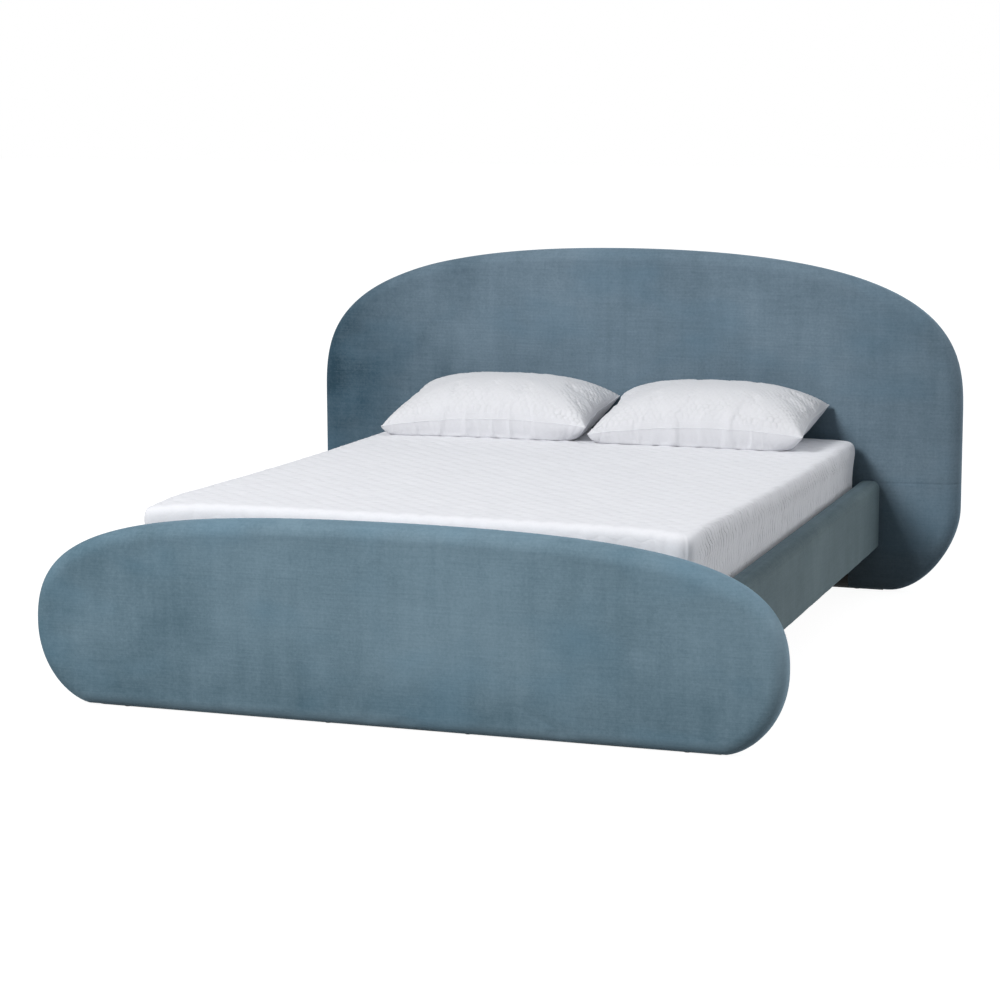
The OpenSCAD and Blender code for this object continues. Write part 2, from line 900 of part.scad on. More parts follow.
module slat_rods(z0, z1, r) {
    for (y = slat_spots)
        translate([slat_screw_x, y, z0])
            cylinder(r = r, h = z1 - z0);
}

module slats() {
    color(TIMBER)
        difference() {
            for (y = slat_spots)
                translate([-slat_half, y, deck_h - slat_t / 2])
                    rotate([90, 0, 90])
                        linear_extrude(2 * slat_half)
                            polygon(rounded(-slat_w / 2, -slat_t / 2, slat_w / 2, slat_t / 2,
                                4, 4, 3));
            for (side = [-1, 1])
                on_side(side) {
                    slat_rods(ledger_top - 1, deck_h + 1, bore_r);
                    slat_rods(deck_h - wood_screw_d * 0.6, deck_h + 1, wood_screw_d + hole_fit);
                }
        }
}

module slat_screws() {
    color(ZINC)
        for (side = [-1, 1])
            on_side(side)
                for (y = slat_spots)
                    translate([slat_screw_x, y, deck_h - 0.1])
                        rotate([180, 0, 0])
                            wood_screw(slat_t + screw_bite);
}

// Two tapes under the slats, which keep them spaced
module webbing() {
    color(LINEN)
        for (x = [-webbing_x, webbing_x])
            translate([x - webbing_w / 2, -slat_first - slat_w / 4, ledger_top - webbing_t])
                cube([webbing_w, 2 * slat_first + slat_w / 2, webbing_t]);
}

centre_rail_z = ledger_top - centre_rail_h;
centre_spots = [-centre_pitch, 0, centre_pitch];
centre_leg_z = pad_h + soft_gap + 2;
screw_l = insert_l + screw_travel + 4;

module dowel_rods(r, l) {
    for (y = centre_spots)
        translate([0, y, centre_rail_z - l / 2])
            cylinder(r = r, h = l);
}

module centre_rail() {
    half = well_l / 2 - bracket_t - 1;
    color(TIMBER)
        difference() {
            translate([-centre_rail_w / 2, -half, centre_rail_z])
                cube([centre_rail_w, 2 * half, centre_rail_h]);
            dowel_rods(dowel_d / 2 + 0.1, dowel_l + 1);
        }
}

// Steel cradles that hold the ends of the centre rail on the boards
module centre_cradles() {
    w = cradle_half;
    color(STEEL)
        for (end = [-1, 1])
            at_end(end)
                difference() {
                    union() {
                        translate([-w - bracket_t, -cradle_l, cradle_z])
                            cube([2 * w + 2 * bracket_t, cradle_l, centre_rail_h + bracket_t]);
                        translate([-w - bracket_t - cradle_wing, -bracket_t, cradle_z])
                            cube([2 * (w + bracket_t + cradle_wing), bracket_t,
                                centre_rail_h + bracket_t]);
                    }
                    translate([-w, -cradle_l - 1, centre_rail_z])
                        cube([2 * w, cradle_l + 1 - bracket_t, centre_rail_h + 1]);
                    rods(cradle_spots, -10, 1, bore_r);
                    for (p = cradle_spots)
                        translate([p[0], -bracket_t - 0.01, p[1]])
                            rotate([-90, 0, 0])
                                cylinder(r1 = wood_screw_d + hole_fit, r2 = bore_r,
                                    h = wood_screw_d * 0.55);
                }
}

module cradle_screws() {
    color(ZINC)
        for (end = [-1, 1])
            at_end(end)
                for (p = cradle_spots)
                    translate([p[0], 0.1 - bracket_t, p[1]])
                        rotate([-90, 0, 0])
                            wood_screw(bracket_t + skin_depth(end) + screw_bite);
}

// Square legs under the centre rail, bored for a dowel above and an insert below
module centre_legs() {
    c = centre_leg / 2;
    bevel = 4;
    color(BLACK)
        difference() {
            for (y = centre_spots)
                translate([0, y, centre_leg_z])
                    linear_extrude(centre_rail_z - centre_leg_z)
                        polygon([[c, bevel - c], [c, c - bevel], [c - bevel, c], [bevel - c, c],
                            [-c, c - bevel], [-c, bevel - c], [bevel - c, -c], [c - bevel, -c]]);
            dowel_rods(dowel_d / 2 + 0.1, dowel_l + 1);
            for (y = centre_spots)
                translate([0, y, centre_leg_z - 1]) {
                    cylinder(r = screw_d / 2 + 2.1, h = insert_l + 1);
                    cylinder(r = screw_d / 2 + 1, h = screw_l + 6);
                }
        }
}

module leg_dowels() {
    color(TIMBER)
        dowel_rods(dowel_d / 2, dowel_l);
}

// Flanged inserts in the foot of each centre leg
module leg_inserts() {
    color(ZINC)
        for (y = centre_spots)
            translate([0, y, centre_leg_z])
                difference() {
                    union() {
                        translate([0, 0, -2])
                            cylinder(r = screw_d / 2 + 7, h = 2);
                        cylinder(r = screw_d / 2 + 2, h = insert_l - 1);
                    }
                    translate([0, 0, -3])
                        cylinder(r = screw_d / 2 + screw_fit, h = insert_l + 3);
                }
}

// Levelling foot: a turned pad on a screw
module levelling_foot(k) {
    color(BLACK)
        translate([0, centre_spots[k], 0])
            rotate_extrude()
                polygon([[0, 0], [pad_d / 2 - 2, 0], [pad_d / 2, 2], [pad_d / 2, pad_h * 0.45],
                    [screw_d * 1.1, pad_h * 0.8], [screw_d, pad_h], [screw_d / 2, pad_h],
                    [screw_d / 2, pad_h + screw_l - 1], [screw_d / 2 - 1, pad_h + screw_l],
                    [0, pad_h + screw_l]]);
}

module levelling_foot_1() { levelling_foot(0); }
module levelling_foot_2() { levelling_foot(1); }
module levelling_foot_3() { levelling_foot(2); }

seat_z = deck_h + soft_gap;
side_mid = deck_h + mattress_h * 0.45;

// Height of the mattress top over a point, which falls to the head and to both sides
function mattress_top(x, y) = let (t = 2 * y / covered_l) seat_z + mattress_h
    - mattress_dip * t / 2 + mattress_sag * t * t - mattress_crown * pow(2 * x / covered_w, 4);

// Plan of the mattress, a distance d inside its edge, counter-clockwise
function spread(a, b, n) = [for (i = [1 : n - 1]) a + (b - a) * i / n];
function plan(d) = let (
    x = covered_w / 2 - d,
    y = covered_l / 2 - d,
    r = max(mattress_corner - d, 12),
    q = [arc(r - x, r - y, r, 180, 4), arc(x - r, r - y, r, 270, 4),
        arc(x - r, y - r, r, 0, 4), arc(r - x, y - r, r, 90, 4)])
    concat(q[0], spread(q[0][4], q[1][0], 4), q[1], spread(q[1][4], q[2][0], 5),
        q[2], spread(q[2][4], q[3][0], 4), q[3], spread(q[3][4], q[0][0], 5));

// Ring of the mattress top, a depth t under its face: a is 90 on the flat and 0 on the side
function crown_ring(d, a, t) = [for (p = plan(d)) [p[0], p[1],
    mattress_top(p[0], p[1]) - t - (mattress_roll - t) * (1 - sin(a))]];
function roll_rings(t, steps) = [for (a = steps)
    crown_ring(t + (mattress_roll - t) * (1 - cos(a)), a, t)];
function level_ring(d, z) = [for (p = plan(d)) [p[0], p[1], z]];

// Places of the rings on the flat of the top, as shares of the width in from the edge
top_rings = [0.34, 0.18, 0.09];

// Quilted cover with a rolled top edge, drawn-in sides and a hem under the mattress
module mattress_cover() {
    r = mattress_heel;
    hem_z = seat_z + quilt_t;
    color(LINEN)
        loft(concat(
            [for (k = top_rings) crown_ring(k * covered_w, 90, 0)],
            roll_rings(0, [90, 65, 40, 18, 0]),
            [level_ring(mattress_waist, side_mid), level_ring(0, seat_z + r),
                level_ring(r * 0.3, seat_z + r * 0.3), level_ring(r, seat_z),
                level_ring(r + quilt_hem, seat_z), level_ring(r + quilt_hem, hem_z),
                level_ring(r, hem_z), level_ring(quilt_t + r * 0.26, hem_z + r * 0.26),
                level_ring(quilt_t, seat_z + r), level_ring(mattress_waist + quilt_t, side_mid)],
            roll_rings(quilt_t, [0, 45, 90]),
            [for (i = [1, 0]) crown_ring(top_rings[i] * covered_w, 90, quilt_t)]
        ), [0, 0, mattress_top(0, 0)], [0, 0, mattress_top(0, 0) - quilt_t]);
}

// Mattress inside the cover, stepped up over the hem
module mattress_core() {
    r = mattress_heel;
    skin = quilt_t + core_gap;
    color(FOAM)
        loft(concat(
            [for (i = [0, 1]) crown_ring(top_rings[i] * covered_w, 90, skin)],
            roll_rings(skin, [90, 45, 0]),
            [level_ring(mattress_waist + skin, side_mid), level_ring(skin, seat_z + r),
                level_ring(skin + r * 0.26, seat_z + skin + r * 0.26),
                level_ring(r, seat_z + skin),
                level_ring(r + quilt_hem + core_gap, seat_z + skin),
                level_ring(r + quilt_hem + core_gap, seat_z)]
        ), [0, 0, mattress_top(0, 0) - skin], [0, 0, seat_z]);
}

// Points round a unit square, counter-clockwise from its lower left corner
function square_side(n) = [for (i = [0 : n - 1]) 2 * i / n - 1];
unit_square = let (t = square_side(11)) concat([for (k = t) [k, -1]], [for (k = t) [1, k]],
    [for (k = t) [-k, 1]], [for (k = t) [-1, -k]]);

// Fullness of a pillow between two opposite seams
function fullness(t) = pow(max(1 - pow(abs(t), 3), 0), 0.56);
function seam_height(u, v) = seam_front + (seam_back - seam_front) * (v + 1) / 2
    + (seam_arch * (1 - u * u) + seam_lift * (u + 1) / 2) * (1 - v) / 2;
function pillow_ring(cx, s, up) = [for (q = unit_square) pillow_point(cx, s * q[0], s * q[1], up)];
function pillow_point(cx, u, v, up) = let (
    full = fullness(u) * fullness(v),
    x = cx + u * (pillow_w / 2 - pillow_draw * (1 - v * v)),
    y = pillow_y + v * (pillow_d / 2 - pillow_draw * (1 - u * u)),
    h = seam_height(u, v))
    [x, y, mattress_top(x, y) + pillow_seat
        + (up ? h + pillow_loft * full : max(0, h - pillow_belly * full))];

pillow_y = well_l / 2 - pillow_back - pillow_d / 2;

// Filled pillow with pointed corners, flattened below where it lies on the mattress
module pillow(side) {
    cx = pillow_shift + side * (pillow_w + pillow_gap) / 2;
    color(LINEN)
        loft(concat(
            [for (s = [0.2, 0.4, 0.58, 0.74, 0.86, 0.94, 0.98]) pillow_ring(cx, s, true)],
            [for (s = [1, 0.97, 0.9, 0.8, 0.65, 0.35]) pillow_ring(cx, s, false)]
        ), pillow_point(cx, 0, 0, true), pillow_point(cx, 0, 0, false));
}

module pillow_left() { pillow(-1); }
module pillow_right() { pillow(1); }

headboard_cover();
headboard_back_cover();
headboard_foam();
headboard_panel();
headboard_posts();
headboard_battens();
headboard_felt();
headboard_sole();
headboard_glides();
footboard_cover();
footboard_inner_cover();
footboard_foam();
footboard_panel();
footboard_posts();
footboard_battens();
footboard_felt();
footboard_sole();
footboard_glides();
left_rail_cover();
left_rail_foam();
left_rail_board();
left_ledger();
right_rail_cover();
right_rail_foam();
right_rail_board();
right_ledger();
ledger_screws();
headboard_lining();
corner_brackets();
frame_bolts();
bolt_inserts();
bracket_screws();
slats();
slat_screws();
webbing();
centre_rail();
centre_cradles();
cradle_screws();
centre_legs();
leg_dowels();
leg_inserts();
levelling_foot_1();
levelling_foot_2();
levelling_foot_3();
mattress_cover();
mattress_core();
pillow_left();
pillow_right();
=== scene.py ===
import math

import bpy
import numpy as np
from mathutils import Matrix, Vector


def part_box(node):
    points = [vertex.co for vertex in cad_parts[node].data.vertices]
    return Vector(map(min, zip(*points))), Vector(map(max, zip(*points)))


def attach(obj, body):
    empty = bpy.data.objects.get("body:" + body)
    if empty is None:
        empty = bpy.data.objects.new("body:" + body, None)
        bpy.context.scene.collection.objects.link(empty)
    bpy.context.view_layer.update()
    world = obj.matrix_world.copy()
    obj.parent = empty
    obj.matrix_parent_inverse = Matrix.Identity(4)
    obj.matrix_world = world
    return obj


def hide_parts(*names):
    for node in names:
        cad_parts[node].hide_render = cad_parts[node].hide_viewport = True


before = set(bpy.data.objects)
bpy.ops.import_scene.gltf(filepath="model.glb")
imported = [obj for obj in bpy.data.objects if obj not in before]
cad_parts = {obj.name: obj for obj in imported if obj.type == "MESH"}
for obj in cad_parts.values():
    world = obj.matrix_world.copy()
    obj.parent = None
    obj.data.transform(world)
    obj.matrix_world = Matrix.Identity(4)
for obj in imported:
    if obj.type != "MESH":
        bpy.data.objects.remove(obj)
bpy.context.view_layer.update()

# Where the photograph was taken from, in metres and degrees, with its lens on a 36 mm sensor
CAMERA_PLACE = (2.50517, -7.54092, 1.76217)
CAMERA_TURN = 18.974
CAMERA_DIP = 9.5355
CAMERA_ROLL = -0.21
CAMERA_LENS = 98.33
CAMERA_SENSOR = 36
CAMERA_SHIFT = -0.0015

# The two boards: their outline, in metres and degrees
HEADBOARD = {"width": 2.182, "height": 1.090, "base": 1.730, "hip": 0.280, "side": 0.298,
             "crown": 1.087, "shoulder": 0.214, "heel": 0.113, "tuck": 0.122, "lean": 0.0}
FOOTBOARD = {"width": 2.072, "height": 0.540, "base": 1.770, "hip": 0.222, "side": 0.006,
             "crown": 0.787, "shoulder": 0.244, "heel": 0.077, "tuck": 0.118, "lean": 11.0}
BOARD_THICK = 0.100
BASE_HEIGHT = 0.003
FRONT_ROLL = 0.042
BASE_ROLL = 0.040
BACK_ROLL = 0.036
FRONT_BULGE = 0.004
VELVET_THICK = 0.004
TURN_IN = 0.044
BACK_INSET = BACK_ROLL + TURN_IN / 3
BOARD_STEP = 0.014
FACE_SHARES = (0.12, 0.25, 0.38, 0.5, 0.6, 0.68, 0.75, 0.81, 0.86, 0.9, 0.94, 0.97)
PLEAT_DEPTH = 0.0022
SWELL_DEPTH = 0.0010
WELT_RADIUS = 0.0028

# The black cloth under a board, a dark sheet that stands in for the shadow line at its base: its
# two heights, its margin and its gap to the velvet
CLOTH_LOW = 0.0010
CLOTH_HIGH = 0.0036
CLOTH_MARGIN = 0.012
CLOTH_GAP = 0.002

# The side rails
RAIL_ROLL = 0.024
RAIL_END_ROLL = 0.020
RAIL_FOOT_ROLL = 0.010
RAIL_STEP = 0.010

# The mattress, its quilted cover and the block inside it
QUILT_THICK = 0.004
QUILT_HEM = 0.080
MATTRESS_ROLL = 0.042
MATTRESS_HEEL = 0.030
MATTRESS_WAIST = 0.007
MATTRESS_RISE = 0.276
MATTRESS_DIP = 0.048
MATTRESS_SAG = 0.010
MATTRESS_CROWN = 0.005
CORNER_SQUARE = 2.2
EDGE_SQUARE = 3.3
BLOCK_CLEAR = 0.0015
BLOCK_CORNER = 0.040
BLOCK_SUNK = 2 * QUILT_THICK + 0.006

# The quilting: the pitch of its rows, the length of its waves, their depth and its puffs
QUILT_ROW = 0.0328
QUILT_WAVE = 0.0665
QUILT_PUFF = 0.0014
PILLOW_ROW = 0.0115
PILLOW_WAVE = 0.0210
PILLOW_PUFF = 0.0009
WAVE_DEPTH = 0.55

# The pillows
PILLOW_WIDTH = 0.697
PILLOW_DEPTH = 0.392
PILLOW_DRAW = 0.017
PILLOW_SHIFT = -0.022
PILLOW_GAP = 0.003
PILLOW_SEAT = 0.0006
SEAM_FRONT = 0.027
SEAM_BACK = 0.106
SEAM_ARCH = 0.026
SEAM_LIFT = 0.022
SEAM_RADIUS = 0.0014
PILLOW_LOFT = 0.095
PILLOW_BELLY = 0.150
PILLOW_ACROSS = 201
PILLOW_ALONG = 121
CORNER_CUT = 0.008

# The filling of a pillow: its cloth, how long it is filled, and how deep a wrinkle may be
FILLED_CLOTH = {"quality": 6, "mass": 0.15, "tension_stiffness": 25, "compression_stiffness": 25,
                "shear_stiffness": 8, "bending_stiffness": 0.15, "use_pressure": True,
                "uniform_pressure_force": 5}
FILL_STEPS = 24
WRINKLE_CAP = 0.0045

# The stitches: their pitch, length and thickness
BOARD_STITCH = (0.011, 0.0055, 0.0012)
PILLOW_STITCH = (0.0055, 0.0036, 0.0010)

# The studio: the side that the fill light is strongest from, its least strength, and the lamp
FILL_SIDE = (1.0, 0.45, 0.2)
FILL_LOW = 0.05
FLOOR_REACH = 30.0
FLOOR_GREY = 0.20
FLOOR_GLOW = 0.94
KEY_PLACE = (-6.7, -13.2, 10.4)
KEY_AIM = (0, 0.2, 0.5)
KEY_SIZE = 5.2
KEY_POWER = 2890


def put(name, data):
    """Adds an object to the scene, at the origin."""
    obj = bpy.data.objects.new(name, data)
    bpy.context.scene.collection.objects.link(obj)
    return obj


def make_camera():
    data = bpy.data.cameras.new("camera")
    data.lens = CAMERA_LENS
    data.sensor_width = CAMERA_SENSOR
    data.shift_x = CAMERA_SHIFT
    camera = put("camera", data)
    camera.matrix_world = (Matrix.Translation(CAMERA_PLACE)
                           @ Matrix.Rotation(math.radians(CAMERA_TURN), 4, "Z")
                           @ Matrix.Rotation(math.radians(90 - CAMERA_DIP), 4, "X")
                           @ Matrix.Rotation(math.radians(CAMERA_ROLL), 4, "Z"))
    bpy.context.scene.camera = camera


make_camera()


# Node trees

class Value:
    """What a node gives out. Sums, products and powers of it add the nodes that they need."""

    def __init__(self, tree, socket):
        self.tree = tree
        self.socket = socket

    def __add__(self, other):
        return self.tree.math("ADD", self, other)

    def __sub__(self, other):
        return self.tree.math("SUBTRACT", self, other)

    def __rsub__(self, other):
        return self.tree.math("SUBTRACT", other, self)

    def __mul__(self, other):
        return self.tree.math("MULTIPLY", self, other)

    def __truediv__(self, other):
        return self.tree.math("DIVIDE", self, other)

    def __pow__(self, other):
        return self.tree.math("POWER", self, other)

    def __abs__(self):
        return self.tree.math("ABSOLUTE", self)


class Tree:
    """Adds nodes to one node tree and links them."""

    def __init__(self, tree):
        self.tree = tree

    def add(self, kind, inputs=None, **settings):
        node = self.tree.nodes.new(kind)
        for name, value in settings.items():
            setattr(node, name, value)
        for name, value in (inputs or {}).items():
            self.feed(node.inputs[name], value)
        return node

    def value(self, kind, inputs=None, output=0, **settings):
        return Value(self, self.add(kind, inputs, **settings).outputs[output])

    def feed(self, socket, value):
        if isinstance(value, Value):
            self.tree.links.new(value.socket, socket)
        else:
            socket.default_value = (*value, 1) if socket.type == "RGBA" else value

    def math(self, operation, *values):
        return self.value("ShaderNodeMath", dict(enumerate(values)), operation=operation)

    def vector(self, operation, first, second, output=0):
        return self.value("ShaderNodeVectorMath", {0: first, 1: second}, output,
                          operation=operation)

    def axes(self, vector):
        parts = self.add("ShaderNodeSeparateXYZ", {"Vector": vector}).outputs
        return [Value(self, part) for part in parts]

    def noise(self, vector, scale, detail=3.0, roughness=0.5, output="Fac", stretch=None):
        if stretch:
            vector = self.vector("MULTIPLY", vector, stretch)
        return self.value("ShaderNodeTexNoise", {"Vector": vector, "Scale": scale, "Detail": detail,
                                                 "Roughness": roughness}, output)

    def mix(self, factor, first, second, **settings):
        return self.value("ShaderNodeMix", {0: factor, 6: first, 7: second}, 2,
                          data_type="RGBA", **settings)

    def ramp(self, value, low, high):
        return self.value("ShaderNodeMapRange", {"Value": value, "From Min": low,
                                                 "From Max": high})


def node_group(kind, name, inputs, outputs):
    """An empty node group. Each socket has a word for its kind, or else its number or colour."""
    group = bpy.data.node_groups.new(name, kind)
    for way, sockets in (("INPUT", inputs), ("OUTPUT", outputs)):
        for label, given in sockets.items():
            colour = isinstance(given, tuple)
            word = given if isinstance(given, str) else "Color" if colour else "Float"
            socket = group.interface.new_socket(name=label, in_out=way,
                                                socket_type="NodeSocket" + word)
            if not isinstance(given, str):
                socket.default_value = (*given, 1) if colour else given
    tree = Tree(group)
    sockets = tree.add("NodeGroupInput").outputs
    return tree, {socket.name: Value(tree, socket) for socket in sockets if socket.name}


def effect(name, inputs, outputs=("Color", "Roughness", "Height")):
    """An empty shader group that is given a place and puts out colours and numbers."""
    return node_group("ShaderNodeTree", name, {"Vector": "Vector", **inputs},
                      {label: "Color" if label == "Color" else "Float" for label in outputs})


def velvet_effect():
    """Nap of velvet: broad mottling, upright streaks, level slubs and pile, with painted shade at
    the ends, low down, on a rail's top and in a crease, and painted light at the hem and rim.
    """
    tree, given = effect("velvet_nap", {
        "Lit": (0.2, 0.3, 0.36), "Shaded": (0.1, 0.18, 0.22), "Cool": (0.1, 0.22, 0.3),
        "Mottle": 0.5, "Streaks": 0.3, "Slubs": 0.2, "Pile": 0.5, "End": 1.1, "End Shade": 0.0,
        "Far Shade": 0.0, "Low Shade": 0.0, "Rim": 0.0, "Top Height": 9.0,
        "Crease Height": -1.0})
    vector = given["Vector"]
    x, y, z = tree.axes(vector)
    broad = tree.noise(vector, 2.6, 3.0, 0.55)
    patch = tree.noise(vector, 13.0, 4.0, 0.6)
    streak = tree.noise(vector, 1.0, 4.0, 0.65, stretch=(30, 30, 2.4))
    slub = tree.noise(vector, 1.0, 3.0, 0.7, stretch=(8, 8, 190))
    pile = tree.noise(vector, 120.0, 3.0, 0.75)
    tips = tree.noise(vector, 700.0, 1.0, 0.5)
    cloud = broad - 0.5
    tone = broad
    for part, weight in ((patch, given["Mottle"]), (streak, given["Streaks"]),
                         (slub, given["Slubs"]), (pile, given["Pile"]), (tips, 0.2)):
        tone = (part - 0.5) * weight + tone
    # Painted shade: darker towards both ends of a board and towards the floor, where less light
    # reaches.
    end = 1.0 - tree.ramp(x + given["End"] + cloud * 0.5, 0.0, 0.55)
    far = 1.0 - tree.ramp(given["End"] - x, 0.0, 0.5)
    low = 1.0 - tree.ramp(cloud * 0.2 + z, 0.0, 0.24)
    # Painted light: the velvet within 50 mm of the floor is lightened, as if lit from the floor.
    hem = 1.0 - tree.ramp(z, 0.0, 0.050)
    # Painted shadow: a darker band along a rail's top, fading towards the head end, where the
    # mattress above shades it.
    top = tree.ramp(z - given["Top Height"], -0.030, -0.004) * (1.0 - tree.ramp(y, 0.2, 0.95))
    # A crease across the headboard's right part, bumped and darkened with painted shade.
    off_crease = abs(x * -0.02 + z - given["Crease Height"])
    crease = (1.0 - tree.ramp(off_crease, 0.0, 0.006)) * tree.ramp(x, 0.74, 0.86)
    tone = tone - end * given["End Shade"] - far * given["Far Shade"] - low * given["Low Shade"]
    # Adds painted light at the hem and rim, and takes off painted shadow on a rail's top and
    # painted shade in the crease.
    tone = hem * 0.8 + tone + given["Rim"] - top * 0.55 - crease * 0.15
    tone = tree.math("MAXIMUM", tone, -0.6)
    nap = tree.mix(tone, given["Shaded"], given["Lit"], clamp_factor=False)
    tint = tree.ramp(tree.noise(vector, 3.4, 2.0, stretch=(1, 1, 1.7)), 0.5, 0.8)
    tree.add("NodeGroupOutput", {
        "Color": tree.mix(tint * 0.35, nap, given["Cool"]),
        "Roughness": streak * 0.12 + 0.7,
        "Height": patch * 0.7 + (slub * 0.4 + pile * 0.5 - crease * 1.2)})
    return tree.tree


def quilting(tree, place, row, wave, depth, side, sharp):
    """Sewn line and pits of a quilting, which turn into fine wavering ribs by the share side."""
    rows = tree.math("SINE", row * math.pi)
    waves = tree.math("COSINE", wave * (2 * math.pi))
    line = rows - waves * depth
    waver = (tree.noise(place, 1.0, 2.0, stretch=(5, 5, 15)) - 0.5) * 8.0 + waves * 1.1
    ribs = tree.math("SINE", row * (1.25 * math.pi) + waver)
    pit = (rows * waves * 0.5 + 0.5) ** sharp * (1.0 - side)
    return (ribs - line) * side + line, pit


def weave_effect():
    """Woven cotton with a slight slub, and the sewn rows and pits of its quilting where it has any,
    darkened with painted shade.
    """
    tree, given = effect("cotton_weave", {
        "Cloth": (0.8, 0.8, 0.8), "Dip": (0.7, 0.7, 0.7), "Thread": 900.0, "Row": 0.0,
        "Wave": 0.0, "Rows": 0.0, "Side": 0.0}, ("Color", "Height"))
    vector = given["Vector"]
    thread = tree.value("ShaderNodeTexVoronoi", {"Vector": vector, "Scale": given["Thread"]},
                        "Distance", feature="F1")
    uneven = tree.noise(vector, 9.0, 4.0, 0.6)
    fluff = tree.noise(vector, 150.0, 3.0, 0.7)
    line, pit = quilting(tree, vector, given["Row"], given["Wave"], WAVE_DEPTH, given["Side"], 5.0)
    pit = pit * given["Rows"]
    sewn = given["Rows"] * (1.0 - tree.ramp(abs(line), 0.0, 0.42)) * (given["Side"] * 1.7 + 1.0)
    # Painted shade in the sewn lines and the pits, stronger in the sewn lines on the cover's sides.
    shade = tree.ramp(uneven * 0.5 + fluff * 0.5, 0.25, 0.75) - (sewn * 0.3 + pit * 0.8)
    tree.add("NodeGroupOutput", {
        "Color": tree.mix(shade, given["Dip"], given["Cloth"]),
        "Height": fluff * 1.2 + thread * 0.5 - (sewn * 1.3 + pit)})
    return tree.tree


def grain_effect():
    """Wood grain with long streaks, growth bands and small pores."""
    tree, given = effect("wood_grain", {"Early": (0.6, 0.45, 0.28), "Late": (0.4, 0.27, 0.15)})
    vector = given["Vector"]
    swirl = tree.noise(vector, 2.0, 2.0, output="Color")
    bent = tree.vector("ADD", vector, tree.vector("MULTIPLY", swirl, (0.03, 0.03, 0.03)))
    tone = tree.noise(bent, 60.0, 3.0, 0.6) * 0.8 + tree.noise(vector, 240.0, 2.0, 0.7) * 0.2
    tree.add("NodeGroupOutput", {
        "Color": tree.mix(tree.ramp(tone, 0.35, 0.65), given["Late"], given["Early"]),
        "Roughness": tone * 0.25 + 0.45,
        "Height": tone})
    return tree.tree


def wear_effect():
    """Slight cloudiness and fine scratches of a painted, plated or moulded surface."""
    tree, given = effect("surface_wear", {"Base": (0.1, 0.1, 0.1), "Worn": (0.2, 0.2, 0.2),
                                          "Scale": 300.0, "Roughness": 0.5})
    vector = given["Vector"]
    cloud = tree.noise(vector, 22.0, 4.0, 0.6)
    tree.add("NodeGroupOutput", {
        "Color": tree.mix(tree.ramp(cloud, 0.35, 0.8), given["Base"], given["Worn"]),
        "Roughness": given["Roughness"] + cloud * 0.15,
        "Height": tree.noise(vector, given["Scale"], 2.0, 0.6)})
    return tree.tree


VELVET_NAP = velvet_effect()
COTTON_WEAVE = weave_effect()
WOOD_GRAIN = grain_effect()
SURFACE_WEAR = wear_effect()


# Materials

def empty_tree(owner):
    """Node tree of a new material or world, without the nodes that it came with."""
    owner.use_nodes = True
    owner.node_tree.nodes.clear()
    return Tree(owner.node_tree)


def finish_of(name, group, inputs, bump, stretch=(1, 1, 1), **constants):
    """A material whose colour, roughness and bump come from an effect group."""
    material = bpy.data.materials.new(name)
    tree = empty_tree(material)
    place = tree.value("ShaderNodeTexCoord", output="Object")
    place = tree.value("ShaderNodeMapping", {"Vector": place, "Scale": stretch})
    node = tree.add("ShaderNodeGroup", {"Vector": place, **inputs}, node_tree=group)
    made = {socket.name: Value(tree, socket) for socket in node.outputs}
    fed = {label.replace("_", " "): value for label, value in constants.items()}
    fed["Base Color"] = made["Color"]
    if "Roughness" in made:
        fed["Roughness"] = made["Roughness"]
    fed["Normal"] = tree.value("ShaderNodeBump", {"Strength": 1.0, "Distance": bump,
                                                  "Height": made["Height"]})
    shader = tree.value("ShaderNodeBsdfPrincipled", fed)
    tree.add("ShaderNodeOutputMaterial", {"Surface": shader})
    return material


def feed_stored(material, fed):
    """Feeds numbers stored on the points of a mesh to the effect in a material."""
    tree = Tree(material.node_tree)
    group = next(node for node in material.node_tree.nodes if node.type == "GROUP")
    for label, attribute, length in fed:
        stored = tree.value("ShaderNodeAttribute", output="Fac", attribute_name=attribute)
        tree.feed(group.inputs[label], stored / length)


def velvet(name, lit, shaded, cool, sheen=0.35, rim=0.0, **values):
    """A velvet; with a rim it gets painted light, paler where the board's edge rolls down and to
    the right.
    """
    inputs = {"Lit": lit, "Shaded": shaded, "Cool": cool, "Mottle": 0.4, "Streaks": 0.45,
              "Slubs": 0.45, "Pile": 0.7, **values}
    material = finish_of(name, VELVET_NAP, inputs, bump=0.0006, Sheen_Weight=sheen,
                         Sheen_Roughness=0.32, Sheen_Tint=(0.45, 0.68, 0.85),
                         Specular_IOR_Level=0.12)
    if rim:
        feed_stored(material, [("Rim", "rim", 1 / rim)])
    return material


def cotton(name, cloth, dip, thread, bump, pitch=0.0, wave=0.0):
    """A cotton; with a row pitch and a wave length it also shows its sewn rows, darkened with
    painted shade.
    """
    material = finish_of(name, COTTON_WEAVE, {"Cloth": cloth, "Dip": dip, "Thread": thread},
                         bump, Roughness=0.9, Sheen_Weight=0.08, Sheen_Roughness=0.5,
                         Specular_IOR_Level=0.2)
    if pitch:
        feed_stored(material, [("Row", "rib_phase", pitch), ("Wave", "rib_run", wave),
                               ("Rows", "rib_lift", 1.0), ("Side", "rib_side", 1.0)])
    return material


def wood(name, early, late, stretch):
    return finish_of(name, WOOD_GRAIN, {"Early": early, "Late": late}, 0.0004, stretch)


def worn(name, base, edge, roughness, bump, scale, **constants):
    return finish_of(name, SURFACE_WEAR, {"Base": base, "Worn": edge, "Roughness": roughness,
                                          "Scale": scale}, bump, **constants)


